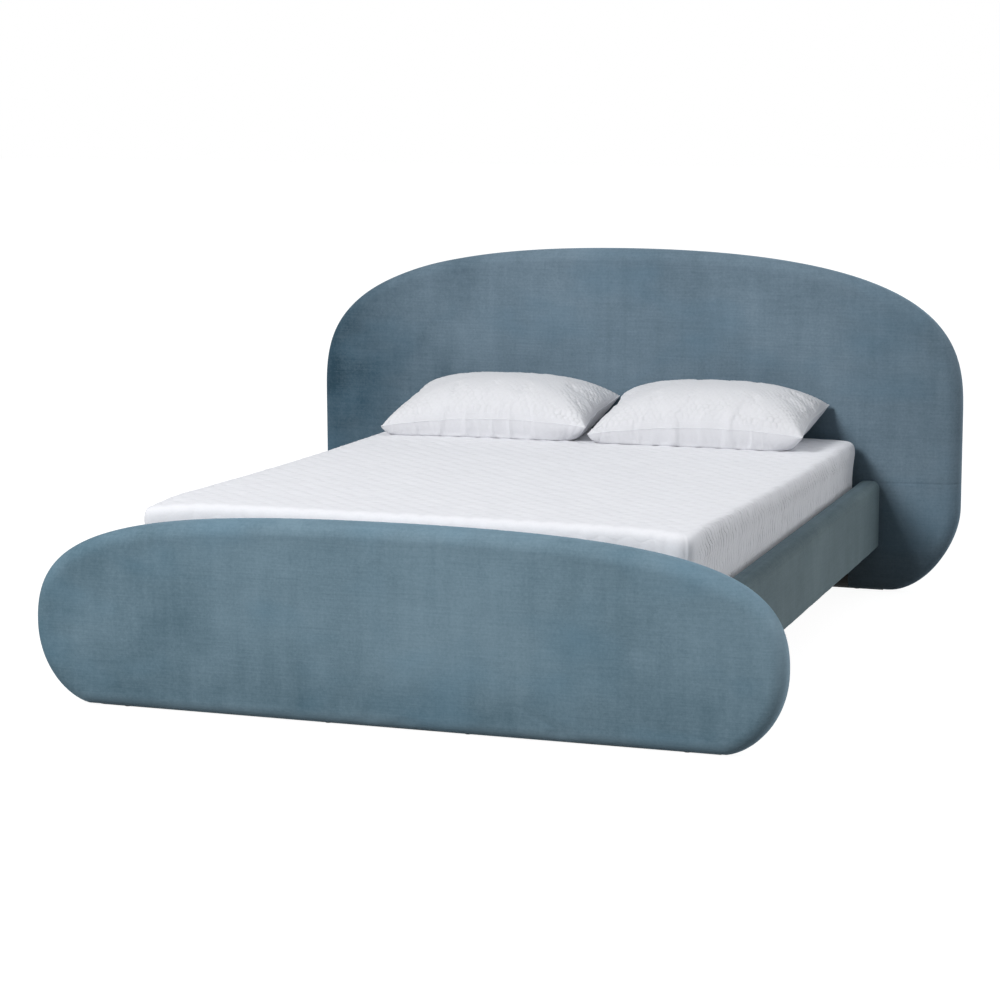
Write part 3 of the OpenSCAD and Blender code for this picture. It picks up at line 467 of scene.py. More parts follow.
BOARD_COLOURS = ((0.205, 0.300, 0.365), (0.096, 0.160, 0.202), (0.095, 0.205, 0.290))
# Painted shade: the headboard's velvet is a darker copy of the footboard's, as less light reaches
# it, and its left end is darkened further.
SHADED_HEAD_VELVET = velvet("headboard_velvet", (0.190, 0.262, 0.322), (0.088, 0.136, 0.176),
                     (0.090, 0.180, 0.255), rim=0.15,
                     **{"End": 1.09, "End Shade": 1.0, "Low Shade": 0.10, "Crease Height": 0.342})
# The footboard's velvet gets painted shade at its ends and low down, and painted light along its
# rolled rim.
FOOT_VELVET = velvet("footboard_velvet", *BOARD_COLOURS, rim=0.9,
                     **{"End": 1.04, "End Shade": 0.48, "Far Shade": 0.06, "Low Shade": 0.40})
BACK_VELVET = velvet("back_velvet", *BOARD_COLOURS)
# Painted shade: the rails' velvet is a darker, greyer copy of the boards', and its top edge gets a
# band of painted shadow.
SHADED_RAIL_VELVET = velvet("rail_velvet", (0.160, 0.208, 0.218), (0.080, 0.110, 0.120),
                     (0.095, 0.145, 0.158), sheen=0.28,
                     **{"Top Height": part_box("right_rail_cover")[1].z})
QUILT_COTTON = cotton("quilt_cotton", (0.80, 0.805, 0.84), (0.735, 0.74, 0.775), 800.0, 0.0006,
                      QUILT_ROW, QUILT_WAVE)
PILLOW_COTTON = cotton("pillow_cotton", (0.715, 0.72, 0.75), (0.66, 0.665, 0.69), 800.0, 0.0006,
                       PILLOW_ROW, PILLOW_WAVE)
SEAM_COTTON = cotton("seam_cotton", (0.80, 0.81, 0.84), (0.70, 0.71, 0.74), 1400.0, 0.0003)
TICKING = cotton("ticking", (0.72, 0.73, 0.74), (0.58, 0.59, 0.61), 500.0, 0.0012)
TAPE = cotton("webbing_tape", (0.76, 0.75, 0.72), (0.60, 0.59, 0.56), 1200.0, 0.0006)
PINE_COLOURS = ((0.62, 0.44, 0.26), (0.47, 0.31, 0.17))
PINE = wood("pine", *PINE_COLOURS, (0.12, 1, 1))
PINE_LONG = wood("pine_long", *PINE_COLOURS, (1, 0.12, 1))
PLY = wood("plywood", (0.56, 0.40, 0.25), (0.44, 0.30, 0.18), (0.15, 1, 1))
BLACK_PAINT = wood("black_painted_wood", (0.012, 0.012, 0.012), (0.006, 0.006, 0.006),
                   (1, 1, 0.12))
FOAM = worn("foam", (0.80, 0.72, 0.50), (0.72, 0.64, 0.43), 0.9, 0.001, 500.0)
FELT = worn("felt", (0.16, 0.16, 0.155), (0.24, 0.24, 0.23), 0.9, 0.0008, 420.0)
BLACK_CLOTH = worn("black_lining", (0.008, 0.008, 0.008), (0.016, 0.016, 0.016), 0.85, 0.0005,
                   700.0)
BRACKET_STEEL = worn("bracket_steel", (0.045, 0.047, 0.050), (0.065, 0.067, 0.070), 0.42, 0.0002,
                     500.0, Metallic=0.6)
ZINC = worn("zinc_plate", (0.56, 0.57, 0.58), (0.47, 0.48, 0.49), 0.28, 0.00008, 350.0,
            Metallic=1.0)
BLACK_PLASTIC = worn("black_plastic", (0.012, 0.012, 0.013), (0.022, 0.022, 0.023), 0.45, 0.0001,
                     600.0)
SEAM_THREAD = worn("seam_thread", (0.060, 0.110, 0.140), (0.090, 0.150, 0.185), 0.7, 0.0002,
                   900.0)

NODE_FINISHES = (
    (BACK_VELVET, "headboard_back_cover footboard_inner_cover"),
    (FOAM, "headboard_foam footboard_foam left_rail_foam right_rail_foam mattress_core"),
    (PLY, "headboard_panel footboard_panel"),
    (FELT, "headboard_felt footboard_felt"),
    (PINE, "headboard_posts headboard_battens headboard_sole"),
    (PINE, "footboard_posts footboard_battens footboard_sole slats leg_dowels"),
    (PINE_LONG, "left_rail_board right_rail_board left_ledger right_ledger centre_rail"),
    (BLACK_PAINT, "centre_legs"),
    (BLACK_CLOTH, "headboard_lining"),
    (TAPE, "webbing"),
    (BRACKET_STEEL, "corner_brackets centre_cradles"),
    (ZINC, "ledger_screws frame_bolts bolt_inserts bracket_screws slat_screws cradle_screws"),
    (ZINC, "leg_inserts"),
    (BLACK_PLASTIC, "headboard_glides footboard_glides"),
    (BLACK_PLASTIC, "levelling_foot_1 levelling_foot_2 levelling_foot_3"),
)


def dress(obj, material):
    obj.data.materials.clear()
    obj.data.materials.append(material)


for node_finish, node_names in NODE_FINISHES:
    for node_name in node_names.split():
        dress(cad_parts[node_name], node_finish)


# Shapes

def smooth_noise(place, period, seed, length):
    """Smooth random numbers from -1 to 1 along a closed line of the given length."""
    count = max(4, round(length / period))
    values = np.random.default_rng(seed).uniform(-1, 1, count)
    at = (place / length * count) % count
    low = np.floor(at).astype(int)
    t = ease(at - low)
    return values[low % count] * (1 - t) + values[(low + 1) % count] * t


def drifting(points, reach, seed):
    """Slow wander through space, from six waves of random direction."""
    rng = np.random.default_rng(seed)
    total = np.zeros(len(points))
    for _ in range(6):
        wave = rng.normal(0, 9, 3)
        total += np.sin(points @ wave + rng.uniform(0, 6.28))
    return total / 6 * reach


def ease(t):
    """Share from 0 to 1 that starts and ends gently."""
    t = np.clip(t, 0, 1)
    return t * t * (3 - 2 * t)


def make_mesh(name, points, faces):
    """A smooth-shaded object at the origin whose faces point outwards."""
    mesh = bpy.data.meshes.new(name)
    mesh.from_pydata(points.tolist(), [], faces)
    mesh.update()
    corners = np.array([(face[0], face[1], face[2], face[-1]) for face in faces])
    a, b, c, d = (points[corners[:, k]] for k in range(4))
    if np.einsum("ij,ij->", a, np.cross(b, c) + np.cross(c, d)) < 0:
        mesh.flip_normals()
    mesh.polygons.foreach_set("use_smooth", np.ones(len(mesh.polygons), bool))
    return put(name, mesh)


def loft_faces(count, rings, start=0):
    """Quads between neighbouring rings of the same number of points."""
    index = start + np.arange(rings * count).reshape(rings, count)
    after = np.roll(index, -1, 1)
    return np.stack([index[:-1], index[1:], after[1:], after[:-1]], -1).reshape(-1, 4).tolist()


def grid_faces(table):
    """Quads between the neighbours in a table of points."""
    return np.stack([table[:-1, :-1], table[:-1, 1:], table[1:, 1:], table[1:, :-1]],
                    -1).reshape(-1, 4)


def fan_faces(count, start, centre, turned):
    """Triangles from a ring to its centre."""
    i = start + np.arange(count)
    pair = (np.roll(i, -1), i) if turned else (i, np.roll(i, -1))
    return np.stack([np.full(count, centre), *pair], 1).tolist()


def loft(rings, first, last):
    """Points and faces of a closed skin over a stack of rings, with a fan at each end."""
    count = len(rings[0])
    total = len(rings) * count
    faces = loft_faces(count, len(rings)) + fan_faces(count, 0, total, False)
    faces += fan_faces(count, total - count, total + 1, True)
    return np.concatenate([*rings, [first, last]]), faces


def quarter(radius, first, last, count):
    """Steps round a rolled edge: how far each lies in from its outside, and how far along."""
    for a in np.radians(np.linspace(first, last, count)):
        yield radius * (1 - math.cos(a)), radius * math.sin(a)


def bezier(a, b, c, d, count):
    """Points evenly spread over the run of a curve between a and d."""
    a, b, c, d = (np.array(p, float) for p in (a, b, c, d))
    t = np.linspace(0, 1, count)[:, None]
    return (1 - t) ** 3 * a + 3 * t * (1 - t) ** 2 * b + 3 * t * t * (1 - t) * c + t ** 3 * d


def resample(line, step=None, count=None):
    """Closed line with its points spaced evenly, by a step or by their number."""
    closed = np.vstack([line, line[:1]])
    run = np.concatenate([[0], np.cumsum(np.linalg.norm(np.diff(closed, axis=0), axis=1))])
    count = count or int(run[-1] / step)
    at = np.arange(count) / count * run[-1]
    return np.stack([np.interp(at, run, closed[:, k]) for k in range(2)], 1), at, run[-1]


def rounded_plan(x0, y0, x1, y1, radius, step):
    """Rounded rectangle with its points spaced evenly, counter-clockwise."""
    corners = [(x1 - radius, y0 + radius, -90), (x1 - radius, y1 - radius, 0),
               (x0 + radius, y1 - radius, 90), (x0 + radius, y0 + radius, 180)]
    points = [(cx + radius * math.cos(a), cy + radius * math.sin(a)) for cx, cy, start in corners
              for a in np.radians(np.linspace(start, start + 90, 13))]
    return resample(np.array(points), step)


def pebble(shape):
    """Outline of a board in X and Z, counter-clockwise from the right end of its flat base."""
    half_w, half_b = shape["width"] / 2, shape["base"] / 2
    hip, height = shape["hip"], shape["height"]
    side = hip + shape["side"]
    lean = math.radians(shape["lean"])
    heel = (half_b + shape["heel"] * math.cos(lean), BASE_HEIGHT + shape["heel"] * math.sin(lean))
    low = bezier((half_b, BASE_HEIGHT), heel, (half_w, hip - shape["tuck"]), (half_w, hip), 60)
    high = bezier((half_w, side), (half_w, side + shape["shoulder"]), (shape["crown"], height),
                  (0, height), 160)
    half = np.vstack([low, high])
    return np.vstack([half, half[-2::-1] * [-1, 1]])


def inset(line, distance):
    """Outline moved inwards."""
    sides = []
    for way in (line - np.roll(line, 1, 0), np.roll(line, -1, 0) - line):
        across = np.stack([way[:, 1], -way[:, 0]], 1)
        sides.append(across / np.linalg.norm(across, axis=1)[:, None])
    m, k = sides
    return line - np.reshape(distance, (-1, 1)) * (m + k) / (1 + (m * k).sum(1))[:, None]


def upright(line, y):
    """An outline in X and Z, stood up at one depth or at one depth for each point."""
    return np.stack([line[:, 0], np.full(len(line), y), line[:, 1]], 1)


def level(line, z):
    """An outline in X and Y, laid at one height or at one height for each point."""
    return np.column_stack([line, np.full(len(line), z)])


def shrunk(line, share, middle):
    """An outline drawn in towards its middle height."""
    return (line - [0, middle]) * share + [0, middle]


def with_rest(table, points):
    """Numbers for the first rings of a mesh, and nothing for the rest of its points."""
    return np.append(table.ravel(), np.zeros(len(points) - table.size))


def points_of(mesh):
    """Places of a mesh's points."""
    places = np.zeros(len(mesh.vertices) * 3, np.float32)
    mesh.vertices.foreach_get("co", places)
    return places.reshape(-1, 3).astype(float)


def push(obj, amounts):
    """Moves each point of a mesh along its normal."""
    mesh = obj.data
    normals = np.zeros(len(mesh.vertices) * 3, np.float32)
    mesh.vertex_normals.foreach_get("vector", normals)
    places = points_of(mesh) + normals.reshape(-1, 3) * amounts[:, None]
    mesh.vertices.foreach_set("co", places.ravel())
    mesh.update()


def mark(obj, **values):
    """Stores a number on each point of a mesh."""
    for label, numbers in values.items():
        layer = obj.data.attributes.new(label, "FLOAT", "POINT")
        layer.data.foreach_set("value", np.asarray(numbers, np.float32))


def settle(obj, body, material, replaced=()):
    """Gives a finished piece its material and its body, and hides the parts that it replaces."""
    dress(obj, material)
    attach(obj, body)
    if replaced:
        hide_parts(*replaced)


# The boards

def board_skin(name, shape, node, seed, hem_puckers):
    """Velvet skin of a board: bulging face, rolled edge, and a margin turned in behind."""
    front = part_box(node)[0].y
    rim_y = front + BOARD_THICK - VELVET_THICK
    line, place, length = resample(pebble(shape), BOARD_STEP)
    count = len(line)
    middle = (BASE_HEIGHT + shape["height"]) / 2

    def smoothed(values, kernel):
        return np.convolve(np.tile(values, 3), kernel, "same")[count:2 * count]

    on_base = np.clip(1 - (line[:, 1] - BASE_HEIGHT) / 0.03, 0, 1)
    on_base = smoothed(on_base, np.hanning(9) / np.hanning(9).sum())
    roll = FRONT_ROLL + (BASE_ROLL - FRONT_ROLL) * on_base
    face = inset(line, roll)
    front_axis = front + FRONT_BULGE + roll
    back_axis = rim_y - BACK_ROLL
    rings = [upright(shrunk(face, k, middle), front + FRONT_BULGE * float(ease((k - 0.5) / 0.5)))
             for k in FACE_SHARES]
    for inward, rise in quarter(roll, 90, 0, 13):
        rings.append(upright(inset(line, inward), front_axis - rise))
    for t in (0.33, 0.66):
        rings.append(upright(line, front_axis + (back_axis - front_axis) * t))
    for inward, rise in quarter(BACK_ROLL, 0, 90, 11):
        rings.append(upright(inset(line, inward), back_axis + rise))
    for t in (0.3, 0.65, 1.0):
        rings.append(upright(inset(line, BACK_ROLL + TURN_IN * t), rim_y))
    depth = np.array([*FACE_SHARES, *np.linspace(1, 2, 13), 2.33, 2.66, *np.linspace(3, 4, 11),
                      4.3, 4.65, 5.0])[:, None]
    rings.append(upright(inset(line, BACK_ROLL + TURN_IN), rim_y - VELVET_THICK))
    for inward, rise in quarter(BACK_ROLL - VELVET_THICK, 90, 0, 4):
        rings.append(upright(inset(line, VELVET_THICK + inward), back_axis + rise))
    for inward, rise in quarter(roll - VELVET_THICK, 0, 90, 4):
        rings.append(upright(inset(line, VELVET_THICK + inward), front_axis - rise))
    rings.append(upright(shrunk(face, 0.7, middle), front + VELVET_THICK))
    points, faces = loft(rings, (0, front, middle), (0, front + VELVET_THICK, middle))
    obj = make_mesh(name, points, faces)

    # Gathers round the turned edge, and puckers along the front of the base
    curved = np.abs(np.gradient(np.unwrap(np.arctan2(*np.gradient(line, axis=0).T[::-1]))))
    curved = smoothed(np.clip(curved / BOARD_STEP / 4.5, 0, 1), np.ones(9) / 9)
    fold = smooth_noise(place, 0.024, seed, length)
    wide = smooth_noise(place, 0.16, seed + 1, length)
    hem = np.clip(1 - (line[:, 1] - BASE_HEIGHT) / 0.004, 0, 1)
    tuck = np.maximum(smooth_noise(place, 0.034, seed + 2, length), 0)
    patchy = np.clip(smooth_noise(place, 0.22, seed + 3, length) + 0.35, 0, 1)
    pleat = PLEAT_DEPTH * curved * np.clip(depth - 3.1, 0, 1)
    swell = SWELL_DEPTH * np.maximum(0, 1 - abs(depth - 1.9) / 1.2)
    dent = hem_puckers * np.maximum(0, 1 - abs(depth - 1.15) / 0.4)
    push(obj, with_rest(pleat * fold + swell * wide - dent * hem * tuck * patchy, points))
    # Painted light: a share for the velvet's rim, where the edge rolls down and to the right.
    along = np.roll(line, -1, axis=0) - np.roll(line, 1, axis=0)
    along /= np.linalg.norm(along, axis=1)[:, None]
    toward = np.clip(0.8 * along[:, 1] + 0.45 * along[:, 0], 0, 1)
    mark(obj, rim=with_rest(toward * ease((depth - 1.1) / 0.8), points))
    return obj


def board_back(name, shape, node):
    """Flat rear cover of a board, with a softly rounded edge that laps the turned-in margin."""
    low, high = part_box(node)
    line, place, length = resample(pebble(shape), BOARD_STEP)
    outer = inset(line, BACK_INSET)
    edge = (high.y - low.y) * 0.8
    middle = (BASE_HEIGHT + shape["height"]) / 2
    rings = [upright(shrunk(outer, 0.5, middle), high.y)]
    for inward, rise in quarter(edge, 90, 0, 5):
        rings.append(upright(inset(outer, inward), high.y - edge + rise))
    rings.append(upright(outer, low.y))
    points, faces = loft(rings, (0, high.y, middle), (0, low.y, middle))
    obj = make_mesh(name, points, faces)
    tuck = smooth_noise(place, 0.03, 91, length) * 0.0008
    push(obj, with_rest(np.outer([0, 1, 1, 1, 1], tuck), points))
    return obj


def board_welt(name, shape, node):
    """Welt round the rear cover and the hand stitches that close it."""
    low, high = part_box(node)
    line = resample(pebble(shape), BOARD_STEP)[0]
    path = upright(inset(line, BACK_INSET - 0.0015), low.y + 0.0012)
    row = upright(inset(line, BACK_INSET + 0.0030), high.y - 0.0003)
    return (make_cord(name + "_welt", path, WELT_RADIUS, 8),
            make_stitches(name + "_stitches", row, BOARD_STITCH, SEAM_THREAD))


def base_cloth(name, shape, node):
    """Black cloth stapled under a board, seen as a thin dark line above the floor: a real dust
    cover, here dark and low enough to stand in for the shadow at the base.
    """
    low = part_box(node)[0]
    half = shape["base"] / 2 - CLOTH_MARGIN
    front = low.y + FRONT_BULGE + BASE_ROLL - CLOTH_GAP
    rear = low.y + BOARD_THICK - BACK_ROLL - CLOTH_GAP
    plan = rounded_plan(-half, front, half, rear, 0.004, 0.03)[0]
    rings = [level(inset(plan, d), z) for d, z in ((0.0015, CLOTH_LOW), (0.0, CLOTH_LOW + 0.0006),
                                                   (0.0, CLOTH_HIGH - 0.0006),
                                                   (0.0015, CLOTH_HIGH))]
    middle = (front + rear) / 2
    points, faces = loft(rings, (0, middle, CLOTH_LOW), (0, middle, CLOTH_HIGH))
    return make_mesh(name, points, faces)


# Side rails

def rail_skin(name, node, seed):
    """Velvet-covered rail with a rounded top edge, rounded ends and faint pull lines."""
    low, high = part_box(node)
    line, place, length = rounded_plan(low.x, low.y, high.x, high.y, RAIL_END_ROLL, RAIL_STEP)
    steps = [(inward, low.z + RAIL_FOOT_ROLL - rise)
             for inward, rise in quarter(RAIL_FOOT_ROLL, 90, 0, 6)]
    steps += [(0.0, z) for z in np.linspace(low.z + RAIL_FOOT_ROLL, high.z - RAIL_ROLL, 12)[1:-1]]
    steps += [(inward, high.z - RAIL_ROLL + rise) for inward, rise in quarter(RAIL_ROLL, 0, 90, 10)]
    rings = []
    for d, z in steps:
        if d < RAIL_END_ROLL * 0.9:
            ring = inset(line, d)
        else:
            plan = rounded_plan(low.x + d, low.y + d, high.x - d, high.y - d, 0.003, RAIL_STEP)[0]
            ring = resample(plan, count=len(line))[0]
        rings.append(level(ring, z))
    middle = (low.x + high.x) / 2
    points, faces = loft(rings, (middle, 0, low.z), (middle, 0, high.z))
    obj = make_mesh(name, points, faces)
    broad = smooth_noise(place, 0.18, seed, length)
    fine = smooth_noise(place, 0.045, seed + 1, length)
    t = (np.array(steps)[:, 1:] - low.z) / (high.z - low.z)
    pull = 0.0010 * broad * np.sin(math.pi * t) + 0.0006 * fine * (1 - t) ** 2
    push(obj, with_rest(pull, points))
    return obj


# Mattress

HALF_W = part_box("mattress_cover")[1].x
HALF_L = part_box("mattress_cover")[1].y
SEAT_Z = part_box("mattress_cover")[0].z


def mattress_top(x, y):
    """Height of the mattress top, which falls to the head and to both sides."""
    t = y / HALF_L
    return (SEAT_Z + MATTRESS_RISE - MATTRESS_DIP * t / 2 + MATTRESS_SAG * t * t
            - MATTRESS_CROWN * (x / HALF_W) ** 4)


def cover_top(x, y):
    """Height of the quilted cover, which droops at the two corners of the foot."""
    along = ((y + HALF_L) / 0.13) ** 2
    left = np.exp(-((x + HALF_W) / 0.11) ** 2 - along)
    right = np.exp(-((x - HALF_W) / 0.09) ** 2 - along)
    return mattress_top(x, y) - 0.013 * left - 0.007 * right


def block_top(x, y):
    """Height of the block inside the cover."""
    return cover_top(x, y) - BLOCK_SUNK


def squarer(share, square):
    """Sine or cosine of an arc that is squarer than a circle's."""
    return abs(share) ** (2 / square)


def edge_of(across, along):
    """Border of the grid, counter-clockwise, with each corner fanned out."""
    index = np.arange(across * along).reshape(along, across)
    sides = [index[0, :], index[:, -1], index[-1, ::-1], index[::-1, 0]]
    normals = [(0, -1), (1, 0), (0, 1), (-1, 0)]
    border, outward, corner = [], [], []
    arc = np.radians(np.linspace(0, 90, 17)[1:-1])
    for k, side in enumerate(sides):
        here, after = normals[k], normals[(k + 1) % 4]
        border += list(side)
        outward += [here] * len(side)
        corner += [-1.0] * len(side)
        for a in arc:
            one, two = squarer(math.cos(a), CORNER_SQUARE), squarer(math.sin(a), CORNER_SQUARE)
            border.append(side[-1])
            outward.append((here[0] * one + after[0] * two, here[1] * one + after[1] * two))
            corner.append(math.degrees(a) if k % 2 == 0 else 90 - math.degrees(a))
    return np.array(border), np.array(outward, float), np.array(corner)


def make_quilted_cover():
    """Quilted cover: a crowned top, crisp edges, drawn-in sides, darted corners and a hem."""
    across, along = 240, 340
    x, y = np.meshgrid(np.linspace(-1, 1, across) * (HALF_W - MATTRESS_ROLL),
                       np.linspace(-1, 1, along) * (HALF_L - MATTRESS_ROLL))
    grid = np.stack([x.ravel(), y.ravel(), cover_top(x, y).ravel()], 1)
    border, outward, corner = edge_of(across, along)
    edge = grid[border][:, :2]
    count = len(border)
    long_side = np.abs(outward[:, 0]) > np.abs(outward[:, 1])
    sign = np.sign(edge)
    from_corner = np.where(long_side, HALF_L - MATTRESS_ROLL - np.abs(edge[:, 1]),
                           HALF_W - MATTRESS_ROLL - np.abs(edge[:, 0]))
    smooth_band = ease(np.where(corner >= 0, 0, from_corner) / 0.075)
    dart = sum(np.where(np.abs(corner - at) < 3, size, 0)
               for at, size in ((33, -0.0018), (40, 0.0010), (46, 0.0008)))
    turned = edge + outward * MATTRESS_ROLL
    rest = cover_top(turned[:, 0], turned[:, 1])
    place = np.concatenate([[0], np.cumsum(np.linalg.norm(np.diff(turned, axis=0), axis=1))])

    def creases(period, seed):
        return smooth_noise(place, period, seed, place[-1])

    wrinkle = creases(0.015, 61) + 0.6 * creases(0.04, 62)
    wrinkle = np.where(long_side, creases(0.036, 63) * 0.0012, wrinkle * 0.0009)
    rows = [(grid, np.ones(len(grid)), grid[:, 0], grid[:, 1], np.zeros(len(grid)))]

    def add_ring(out, height, fall, strength=1.0):
        reach = out + dart * min(1, max(0, fall - 0.02) * 40) * (out > 0.03)
        reach = reach + wrinkle * min(1, fall / 0.06) * (strength > 0)
        fade = 1 - (1 - smooth_band) * min(1, fall / 0.05)
        rows.append((
            level(edge + outward * np.reshape(reach, (-1, 1)), height),
            fade * strength * np.where(long_side, 1 + 0.1 * min(1, fall / 0.05),
                                       1 - 0.6 * min(1, fall / 0.03)),
            np.where(long_side, edge[:, 0] + sign[:, 0] * fall, edge[:, 0]),
            np.where(long_side, edge[:, 1] - 0.10 * math.sin(math.pi * fall / 0.26),
                     edge[:, 1] + sign[:, 1] * fall),
            np.where(long_side, float(ease((fall - 0.01) / 0.05)), 0.0)))

    for a in np.radians([3, 9, 18, 30, 42, 54, 66, 76, 84, 90]):
        out = MATTRESS_ROLL * squarer(math.sin(a), EDGE_SQUARE)
        drop = MATTRESS_ROLL * (1 - squarer(math.cos(a), EDGE_SQUARE))
        add_ring(out, rest - drop, out + drop)
    base_fall = 2 * MATTRESS_ROLL
    top_z = rest - MATTRESS_ROLL
    low_z = SEAT_Z + MATTRESS_HEEL
    for t in np.linspace(0, 1, 25)[1:]:
        waist = MATTRESS_WAIST * math.sin(math.pi * min(t * 1.05, 1))
        add_ring(MATTRESS_ROLL - waist, top_z + (low_z - top_z) * t, base_fall + t * 0.2)
    for inward, rise in quarter(MATTRESS_HEEL, 30, 90, 3):
        add_ring(MATTRESS_ROLL - inward, low_z - rise, base_fall + 0.2, 0.6)
    flat = MATTRESS_ROLL - MATTRESS_HEEL
    under = SEAT_Z + QUILT_THICK
    inner = MATTRESS_ROLL - QUILT_THICK * 2 - MATTRESS_WAIST
    for out, height in ((flat - QUILT_HEM / 2, SEAT_Z), (flat - QUILT_HEM, SEAT_Z),
                        (flat - QUILT_HEM, under), (flat, under), (inner, low_z),
                        (inner, top_z - 0.010), (0.0, rest - QUILT_THICK * 3)):
        add_ring(out, height, 0.3, 0.0)
    points, lift, run, phase, side = (np.concatenate(part) for part in zip(*rows))
    points = np.vstack([points, [0, 0, mattress_top(0, 0) - QUILT_THICK * 3]])
    lift, run, phase, side = (np.append(part, 0) for part in (lift, run, phase, side))

    start = across * along
    faces = grid_faces(np.arange(start).reshape(along, across)).tolist()
    for a in range(count):
        b = (a + 1) % count
        rim = (int(border[a]), start + a, start + b, int(border[b]))
        faces.append(rim if rim[0] != rim[3] else rim[:3])
    rings = len(rows) - 1
    faces += loft_faces(count, rings, start)
    faces += fan_faces(count, start + (rings - 1) * count, len(points) - 1, True)
    obj = make_mesh("quilted_cover", points, faces)
    wander = drifting(points, 0.008, 3) + drifting(points * 5, 0.004, 4)
    sideways = drifting(points * 4, 0.008, 5)
    uneven = 0.9 + drifting(points * 4, 0.8, 6)
    mark(obj, rib_lift=lift * np.clip(uneven, 0.3, 1.3), rib_side=side, rib_run=run + sideways,
         rib_phase=phase + wander)
    return obj


def make_mattress_block():
    """Filled block inside the quilted cover, with rounded edges and a slightly sunken belly."""
    low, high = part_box("mattress_core")
    plan = rounded_plan(low.x + BLOCK_CLEAR, low.y + BLOCK_CLEAR, high.x - BLOCK_CLEAR,
                        high.y - BLOCK_CLEAR, BLOCK_CORNER, 0.02)[0]
    shoulder = low.z + MATTRESS_HEEL
    top = block_top(*plan.T)
    rings = [level(plan * k, low.z) for k in (0.15, 0.3, 0.45, 0.6, 0.75, 0.88)]
    for inward, rise in quarter(MATTRESS_HEEL, 90, 0, 7):
        rings.append(level(inset(plan, inward), shoulder - rise))
    for t in (0.2, 0.4, 0.6, 0.8):
        rings.append(level(inset(plan, MATTRESS_WAIST * math.sin(math.pi * t)),
                           shoulder + (top - MATTRESS_ROLL - shoulder) * t))
    for inward, rise in quarter(MATTRESS_ROLL, 0, 75, 6):
        rings.append(level(inset(plan, inward * 0.9), top - MATTRESS_ROLL + rise))
    for k in (1.0, 0.9, 0.75, 0.6, 0.45, 0.3, 0.15):
        ring = inset(plan, MATTRESS_ROLL * 0.9) * k
        rings.append(level(ring, block_top(*ring.T)))
    points, faces = loft(rings, (0, 0, low.z), (0, 0, block_top(0, 0)))
    return make_mesh("mattress_block", points, faces)


# Quilting

def paint_and_end(tree, geometry, material):
    """Ends a geometry tree with real geometry in one material."""
    real = tree.value("GeometryNodeRealizeInstances", {"Geometry": geometry})
    painted = tree.value("GeometryNodeSetMaterial", {"Geometry": real, "Material": material})
    tree.add("NodeGroupOutput", {"Geometry": painted})
    return tree.tree


def quilt_tree():
    """Puffs of a quilted cloth between wavy rows that lean towards and away from each other."""
    tree, given = node_group("GeometryNodeTree", "quilt_puffs", {
        "Geometry": "Geometry", "Row Pitch": "Float", "Wave Length": "Float",
        "Wave Depth": "Float", "Puff Height": "Float", "Material": "Material"},
        {"Geometry": "Geometry"})

    def stored(label):
        return tree.value("GeometryNodeInputNamedAttribute", {"Name": label}, "Attribute",
                          data_type="FLOAT")

    line, pit = quilting(tree, tree.value("GeometryNodeInputPosition"),
                         stored("rib_phase") / given["Row Pitch"],
                         stored("rib_run") / given["Wave Length"], given["Wave Depth"],
                         stored("rib_side"), 4.0)
    raised = (abs(line) ** 0.6 - pit - 0.4) * (given["Puff Height"] * stored("rib_lift"))
    offset = tree.value("ShaderNodeVectorMath", {0: tree.value("GeometryNodeInputNormal"),
                                                 "Scale": raised}, operation="SCALE")
    moved = tree.value("GeometryNodeSetPosition", {"Geometry": given["Geometry"],
                                                   "Offset": offset})
    return paint_and_end(tree, moved, given["Material"])


def grow(obj, group, values):
    """Runs a geometry tree on an object and keeps the result as its plain mesh."""
    modifier = obj.modifiers.new(group.name, "NODES")
    modifier.node_group = group
    for item in group.interface.items_tree:
        if item.item_type == "SOCKET" and item.in_out == "INPUT" and item.name in values:
            modifier[item.identifier] = values[item.name]
    depsgraph = bpy.context.evaluated_depsgraph_get()
    mesh = bpy.data.meshes.new_from_object(obj.evaluated_get(depsgraph), depsgraph=depsgraph)
    obj.modifiers.remove(modifier)
    mesh.name = obj.name
    obj.data = mesh
    mesh.polygons.foreach_set("use_smooth", np.ones(len(mesh.polygons), bool))
    return obj


QUILT_PUFFS = quilt_tree()


def quilt(obj, row, wave, puff, material):
    grow(obj, QUILT_PUFFS, {"Row Pitch": row, "Wave Length": wave, "Wave Depth": WAVE_DEPTH,
                            "Puff Height": puff, "Material": material})


# Pillows

def fullness(t, power=0.56):
    """How full a pillow is at a share of its half width."""
    return np.maximum(1 - np.abs(t) ** 3, 0) ** power


def seam_height(u, v):
    return (SEAM_FRONT + (SEAM_BACK - SEAM_FRONT) * (v + 1) / 2
            + (SEAM_ARCH * (1 - u * u) + SEAM_LIFT * (u + 1) / 2) * (1 - v) / 2)


def pillow_seat(shell):
    """Height at which a pillow rests, under each point of its shell."""
    return mattress_top(shell[..., 0], shell[..., 1]) + PILLOW_SEAT


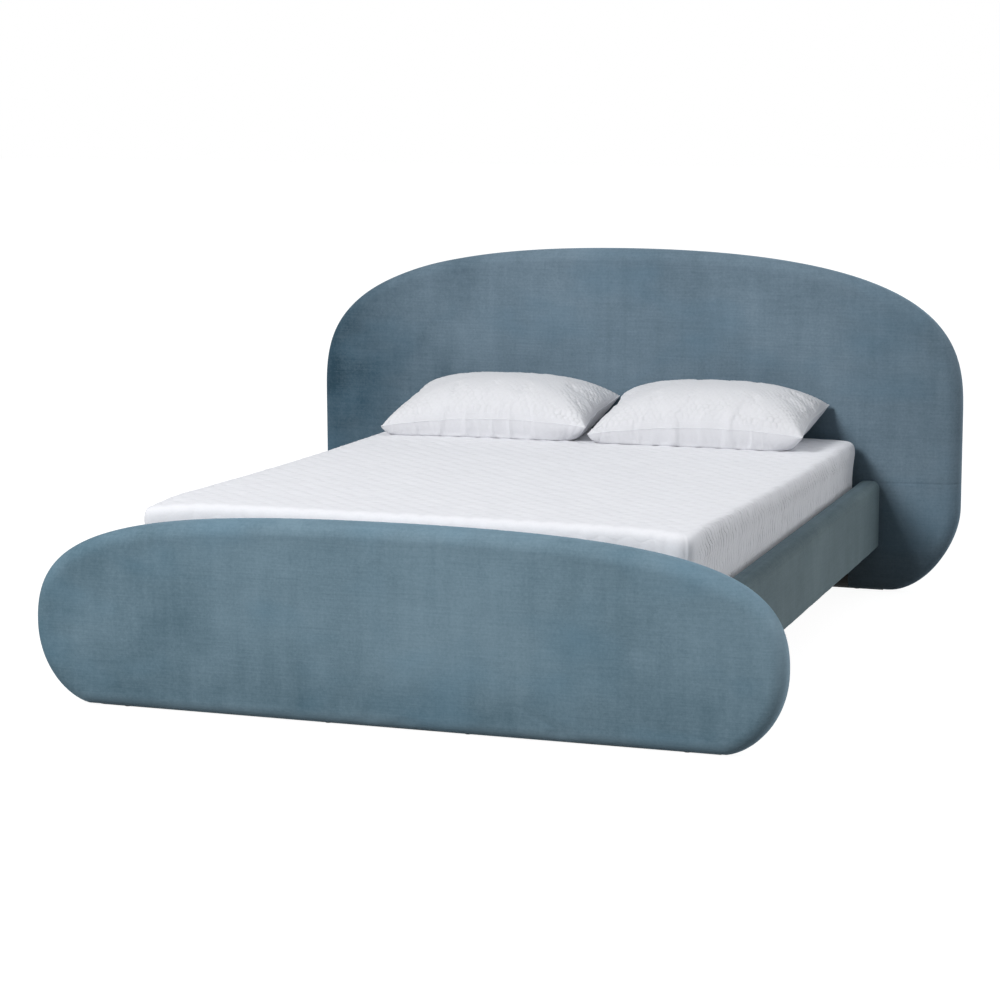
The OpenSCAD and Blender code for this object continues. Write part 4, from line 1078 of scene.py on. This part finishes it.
def pillow_place(side, u, v, upper):
    """Point of a pillow's shell: u runs across it and v from its front to its back."""
    low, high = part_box("pillow_left" if side < 0 else "pillow_right")
    centre_x = PILLOW_SHIFT + side * (PILLOW_WIDTH + PILLOW_GAP) / 2
    centre_y = (low.y + high.y) / 2
    full = fullness(u, 0.60 if upper else 0.50 + 0.11 * (u + 1)) * fullness(v)
    x = centre_x + u * (PILLOW_WIDTH / 2 - PILLOW_DRAW * (1 - v * v))
    y = centre_y + v * (PILLOW_DEPTH / 2 - PILLOW_DRAW * (1 - u * u))
    height = seam_height(u, v)
    z = height + PILLOW_LOFT * full if upper else np.maximum(0, height - PILLOW_BELLY * full)
    return np.stack([x, y, mattress_top(x, y) + PILLOW_SEAT + z], -1)


def pillow_grid():
    """Places on a pillow's shells, closer together towards the seam, with blunt corners."""
    def spread(count):
        t = np.linspace(-1, 1, count)
        return np.sign(t) * (1 - (1 - np.abs(t)) ** 1.3)

    u, v = np.meshgrid(spread(PILLOW_ACROSS), spread(PILLOW_ALONG))
    return u * (1 - CORNER_CUT * v ** 10), v * (1 - CORNER_CUT * 1.6 * u ** 10), u, v


def sewn_shells(name, upper, lower):
    """One closed mesh of two shells that share the seam round their outside."""
    inner = np.zeros(upper.shape[:2], bool)
    inner[1:-1, 1:-1] = True
    index = np.arange(inner.size).reshape(inner.shape)
    beneath = index.copy()
    beneath[inner] = inner.size + np.arange(inner.sum())
    faces = np.concatenate([grid_faces(index), grid_faces(beneath)[:, ::-1]]).tolist()
    return make_mesh(name, np.concatenate([upper.reshape(-1, 3), lower[inner]]), faces), inner


def blurred(field, reach):
    """Grid of values smoothed over its neighbours in both directions."""
    kernel = np.exp(-0.5 * (np.arange(-2 * reach, 2 * reach + 1) / reach) ** 2)
    kernel /= kernel.sum()
    for axis in (0, 1):
        pad = [(0, 0)] * field.ndim
        pad[axis] = (2 * reach, 2 * reach)
        wide = np.pad(field, pad, "edge")
        field = sum(k * np.take(wide, np.arange(i, i + field.shape[axis]), axis)
                    for i, k in enumerate(kernel))
    return field


def halved(field):
    """Grid of values with a new one halfway between each two neighbours."""
    for axis in (0, 1):
        field = np.swapaxes(field, 0, axis)
        wider = np.empty((2 * len(field) - 1,) + field.shape[1:])
        wider[::2] = field
        wider[1::2] = (field[1:] + field[:-1]) / 2
        field = np.swapaxes(wider, 0, axis)
    return field


def filled_wrinkles(flat_upper, flat_lower):
    """Wrinkles that appear when the flat sewn shells are filled, found by cloth simulation."""
    flat_upper, flat_lower = flat_upper[::2, ::2], flat_lower[::2, ::2]
    shell, inner = sewn_shells("filling", flat_upper, flat_lower)
    settings = shell.modifiers.new("cloth", "CLOTH").settings
    for name, value in FILLED_CLOTH.items():
        setattr(settings, name, value)
    settings.effector_weights.gravity = 0
    scene = bpy.context.scene
    for step in range(1, FILL_STEPS + 1):
        scene.frame_set(step)
    filled = points_of(shell.evaluated_get(bpy.context.evaluated_depsgraph_get()).data)
    mesh = shell.data
    bpy.data.objects.remove(shell)
    bpy.data.meshes.remove(mesh)
    scene.frame_set(1)
    found = []
    for flat, first in ((flat_upper, 0), (flat_lower, inner.size)):
        full = filled[:inner.size].reshape(flat.shape).copy()
        if first:
            full[inner] = filled[first:]
        moved = full - flat
        fine = moved - blurred(moved, 4)
        size = np.linalg.norm(fine, axis=-1, keepdims=True) + 1e-9
        found.append(halved(fine / size * WRINKLE_CAP * np.tanh(size / WRINKLE_CAP)))
    return found


def make_pillow(side, seed):
    """Filled pillow: a quilted upper shell and a plain lower one, sewn along a seam."""
    u, v, flat_u, flat_v = pillow_grid()
    upper = pillow_place(side, u, v, True)
    lower = pillow_place(side, u, v, False)
    rim = np.maximum(np.abs(flat_u), np.abs(flat_v))
    on_rim = np.isclose(rim, 1)
    lower[on_rim] = upper[on_rim]
    flat_upper, flat_lower = upper.copy(), lower.copy()
    middle = mattress_top(upper[..., 0], upper[..., 1]) + 0.08
    thin = fullness(flat_u) * fullness(flat_v) * 0.035
    rng = np.random.default_rng(seed)
    for flat, height in ((flat_upper, middle + thin), (flat_lower, middle - thin)):
        flat[..., 2] = height + rng.normal(0, 0.0004, u.shape) * ~on_rim
    above, below = filled_wrinkles(flat_upper, flat_lower)
    upper = upper + above
    free = np.clip((lower[..., 2] - pillow_seat(lower)) / 0.01, 0, 1)[..., None]
    lower = lower + below * free
    lower[..., 2] = np.maximum(lower[..., 2], pillow_seat(lower))
    lower[on_rim] = upper[on_rim]
    obj, inner = sewn_shells("left_pillow" if side < 0 else "right_pillow", upper, lower)
    ends = ease((np.abs(u) - 0.45) / 0.5)
    lift = np.clip((1 - rim) / 0.05, 0, 1) * (0.6 + 0.6 * ends)
    zeros = np.zeros(inner.sum())
    flat = upper.reshape(-1, 3)
    uneven = np.clip(0.9 + drifting(flat * 7, 1.0, seed + 2), 0.3, 1.6)
    mark(obj, rib_lift=np.append(lift.ravel() * uneven, zeros),
         rib_run=np.append(flat[:, 0] + drifting(flat * 6, 0.010, seed + 3), zeros),
         rib_phase=np.append(flat[:, 1] + drifting(flat * 6, 0.010, seed + 4), zeros))
    sharpen(obj, inner)
    return obj, around(upper, 0), around(upper, 3)


def around(table, depth):
    """The closed line of points that lies a number of rows inside a grid."""
    t = table[depth:len(table) - depth, depth:table.shape[1] - depth]
    return np.concatenate([t[0, :-1], t[:-1, -1], t[-1, :0:-1], t[:0:-1, 0]])


def sharpen(obj, inner):
    """Marks the seam's edges so that the shading breaks there."""
    on_seam = np.zeros(len(obj.data.vertices), bool)
    on_seam[:inner.size] = ~inner.ravel()
    pairs = np.zeros(len(obj.data.edges) * 2, np.int32)
    obj.data.edges.foreach_get("vertices", pairs)
    layer = obj.data.attributes.new("sharp_edge", "BOOLEAN", "EDGE")
    layer.data.foreach_set("value", on_seam[pairs].reshape(-1, 2).all(1))


# Welts and stitches

def make_cord(name, path, radius, sides):
    """Closed round cord along a closed line of points."""
    along = np.roll(path, -1, 0) - np.roll(path, 1, 0)
    along /= np.linalg.norm(along, axis=1)[:, None]
    out = path - path.mean(0)
    out -= (out * along).sum(1)[:, None] * along
    out /= np.linalg.norm(out, axis=1)[:, None]
    third = np.cross(along, out)
    turn = np.linspace(0, 2 * math.pi, sides, endpoint=False)[None, :, None]
    ring = path[:, None] + radius * (np.cos(turn) * out[:, None] + np.sin(turn) * third[:, None])
    index = np.arange(len(path) * sides).reshape(len(path), sides)
    after = np.roll(index, -1, 0)
    faces = np.stack([index, after, np.roll(after, -1, 1), np.roll(index, -1, 1)], -1)
    return make_mesh(name, ring.reshape(-1, 3), faces.reshape(-1, 4).tolist())


def stitch_tree():
    """Short threads laid along a line at an even pitch."""
    tree, given = node_group("GeometryNodeTree", "stitches", {
        "Geometry": "Geometry", "Pitch": "Float", "Length": "Float", "Thickness": "Float",
        "Material": "Material"}, {"Geometry": "Geometry"})
    line = tree.value("GeometryNodeMeshToCurve", {"Mesh": given["Geometry"]})
    spaced = tree.value("GeometryNodeResampleCurve", {"Curve": line, "Length": given["Pitch"]},
                        mode="LENGTH")
    thread = tree.value("GeometryNodeMeshUVSphere", {"Segments": 6, "Rings": 5, "Radius": 0.5})
    size = tree.value("ShaderNodeCombineXYZ", {"X": given["Length"], "Y": given["Thickness"],
                                               "Z": given["Thickness"]})
    turned = tree.value("FunctionNodeAlignRotationToVector",
                        {"Vector": tree.value("GeometryNodeInputTangent")}, axis="X")
    laid = tree.value("GeometryNodeInstanceOnPoints", {"Points": spaced, "Instance": thread,
                                                       "Rotation": turned, "Scale": size})
    return paint_and_end(tree, laid, given["Material"])


STITCHES = stitch_tree()


def make_stitches(name, path, sizes, material):
    """A closed run of stitches along a line of points."""
    mesh = bpy.data.meshes.new(name)
    count = len(path)
    mesh.from_pydata(path.tolist(), [(k, (k + 1) % count) for k in range(count)], [])
    pitch, length, thickness = sizes
    return grow(put(name, mesh), STITCHES, {"Pitch": pitch, "Length": length,
                                            "Thickness": thickness, "Material": material})


# Every soft piece, from the floor up

def make_pieces():
    for name, finish, shape, node, inner, seed, puckers in (
            ("headboard_velvet", SHADED_HEAD_VELVET, HEADBOARD, "headboard_cover",
             "headboard_back_cover", 11, 0.0015),
            ("footboard_velvet", FOOT_VELVET, FOOTBOARD, "footboard_cover",
             "footboard_inner_cover", 23, 0.0050)):
        skin = board_skin(name, shape, node, seed, puckers)
        settle(skin, "bed_frame", finish, [node])
        back = board_back(name + "_back", shape, inner)
        settle(back, "bed_frame", BACK_VELVET, [inner])
        welt, sewing = board_welt(name, shape, inner)
        settle(welt, "bed_frame", BACK_VELVET)
        settle(sewing, "bed_frame", SEAM_THREAD)
        settle(base_cloth(name + "_base_cloth", shape, node), "bed_frame", BLACK_CLOTH)
    for side, seed in (("left", 31), ("right", 37)):
        rail = rail_skin(side + "_rail_velvet", side + "_rail_cover", seed)
        settle(rail, "bed_frame", SHADED_RAIL_VELVET, [side + "_rail_cover",
                                                         side + "_rail_foam"])
    cover = make_quilted_cover()
    quilt(cover, QUILT_ROW, QUILT_WAVE, QUILT_PUFF, QUILT_COTTON)
    settle(cover, "mattress", QUILT_COTTON, ["mattress_cover"])
    settle(make_mattress_block(), "mattress", TICKING, ["mattress_core"])
    for side, body, seed in ((-1, "pillow_left", 5), (1, "pillow_right", 8)):
        pillow, seam, row = make_pillow(side, seed)
        quilt(pillow, PILLOW_ROW, PILLOW_WAVE, PILLOW_PUFF, PILLOW_COTTON)
        settle(pillow, body, PILLOW_COTTON, [body])
        settle(make_cord(body + "_seam", seam, SEAM_RADIUS, 6), body, SEAM_COTTON)
        sewing = make_stitches(body + "_stitches", row + [0, 0, 0.0004], PILLOW_STITCH,
                               SEAM_COTTON)
        settle(sewing, body, SEAM_COTTON)


make_pieces()


# The studio

def seen_directly(tree):
    """1 where the camera sees a surface, or sees it in gloss or through glass, and 0 elsewhere."""
    rays = tree.add("ShaderNodeLightPath").outputs
    camera, gloss, glass = (Value(tree, rays["Is %s Ray" % kind])
                            for kind in ("Camera", "Glossy", "Transmission"))
    return tree.math("MAXIMUM", camera, tree.math("MAXIMUM", gloss, glass))


def make_floor():
    """Pale floor that takes the bed's shadow."""
    r = FLOOR_REACH
    mesh = bpy.data.meshes.new("floor")
    mesh.from_pydata([(-r, -r, 0), (r, -r, 0), (r, r, 0), (-r, r, 0)], [], [(0, 1, 2, 3)])
    floor = put("floor", mesh)
    material = bpy.data.materials.new("studio_floor")
    tree = empty_tree(material)
    matt = tree.value("ShaderNodeBsdfDiffuse", {"Color": (FLOOR_GREY,) * 3})
    glow = tree.value("ShaderNodeEmission", {"Color": (1, 1, 1),
                                             "Strength": seen_directly(tree) * FLOOR_GLOW})
    both = tree.value("ShaderNodeAddShader", {0: matt, 1: glow})
    tree.add("ShaderNodeOutputMaterial", {"Surface": both})
    floor.data.materials.append(material)


def make_world():
    """Soft room light from the right and from above, with a white background."""
    world = bpy.data.worlds.new("studio")
    tree = empty_tree(world)
    seen = seen_directly(tree)
    direction = tree.value("ShaderNodeTexCoord", output="Generated")
    facing = tree.vector("DOT_PRODUCT", direction, Vector(FILL_SIDE).normalized(), "Value")
    upward = tree.math("MAXIMUM", tree.axes(direction)[2], 0.0)
    strength = tree.ramp(facing, -1, 1) ** 12.0 * 2.8 + FILL_LOW
    strength = upward ** 4.0 * 0.8 + strength
    soft = tree.value("ShaderNodeBackground", {"Color": (0.97, 0.985, 1.0), "Strength": strength})
    white = tree.value("ShaderNodeBackground", {"Color": (1, 1, 1), "Strength": 1.0})
    mixed = tree.value("ShaderNodeMixShader", {0: seen, 1: soft, 2: white})
    tree.add("ShaderNodeOutputWorld", {"Surface": mixed})
    bpy.context.scene.world = world


def make_lamp():
    data = bpy.data.lights.new("key", "AREA")
    data.shape = "SQUARE"
    data.size = KEY_SIZE
    data.energy = KEY_POWER
    lamp = put("key", data)
    lamp.location = KEY_PLACE
    beam = Vector(KEY_AIM) - Vector(KEY_PLACE)
    lamp.rotation_euler = beam.to_track_quat("-Z", "Y").to_euler()


make_floor()
make_world()
make_lamp()
bpy.context.scene.view_settings.view_transform = "Standard"
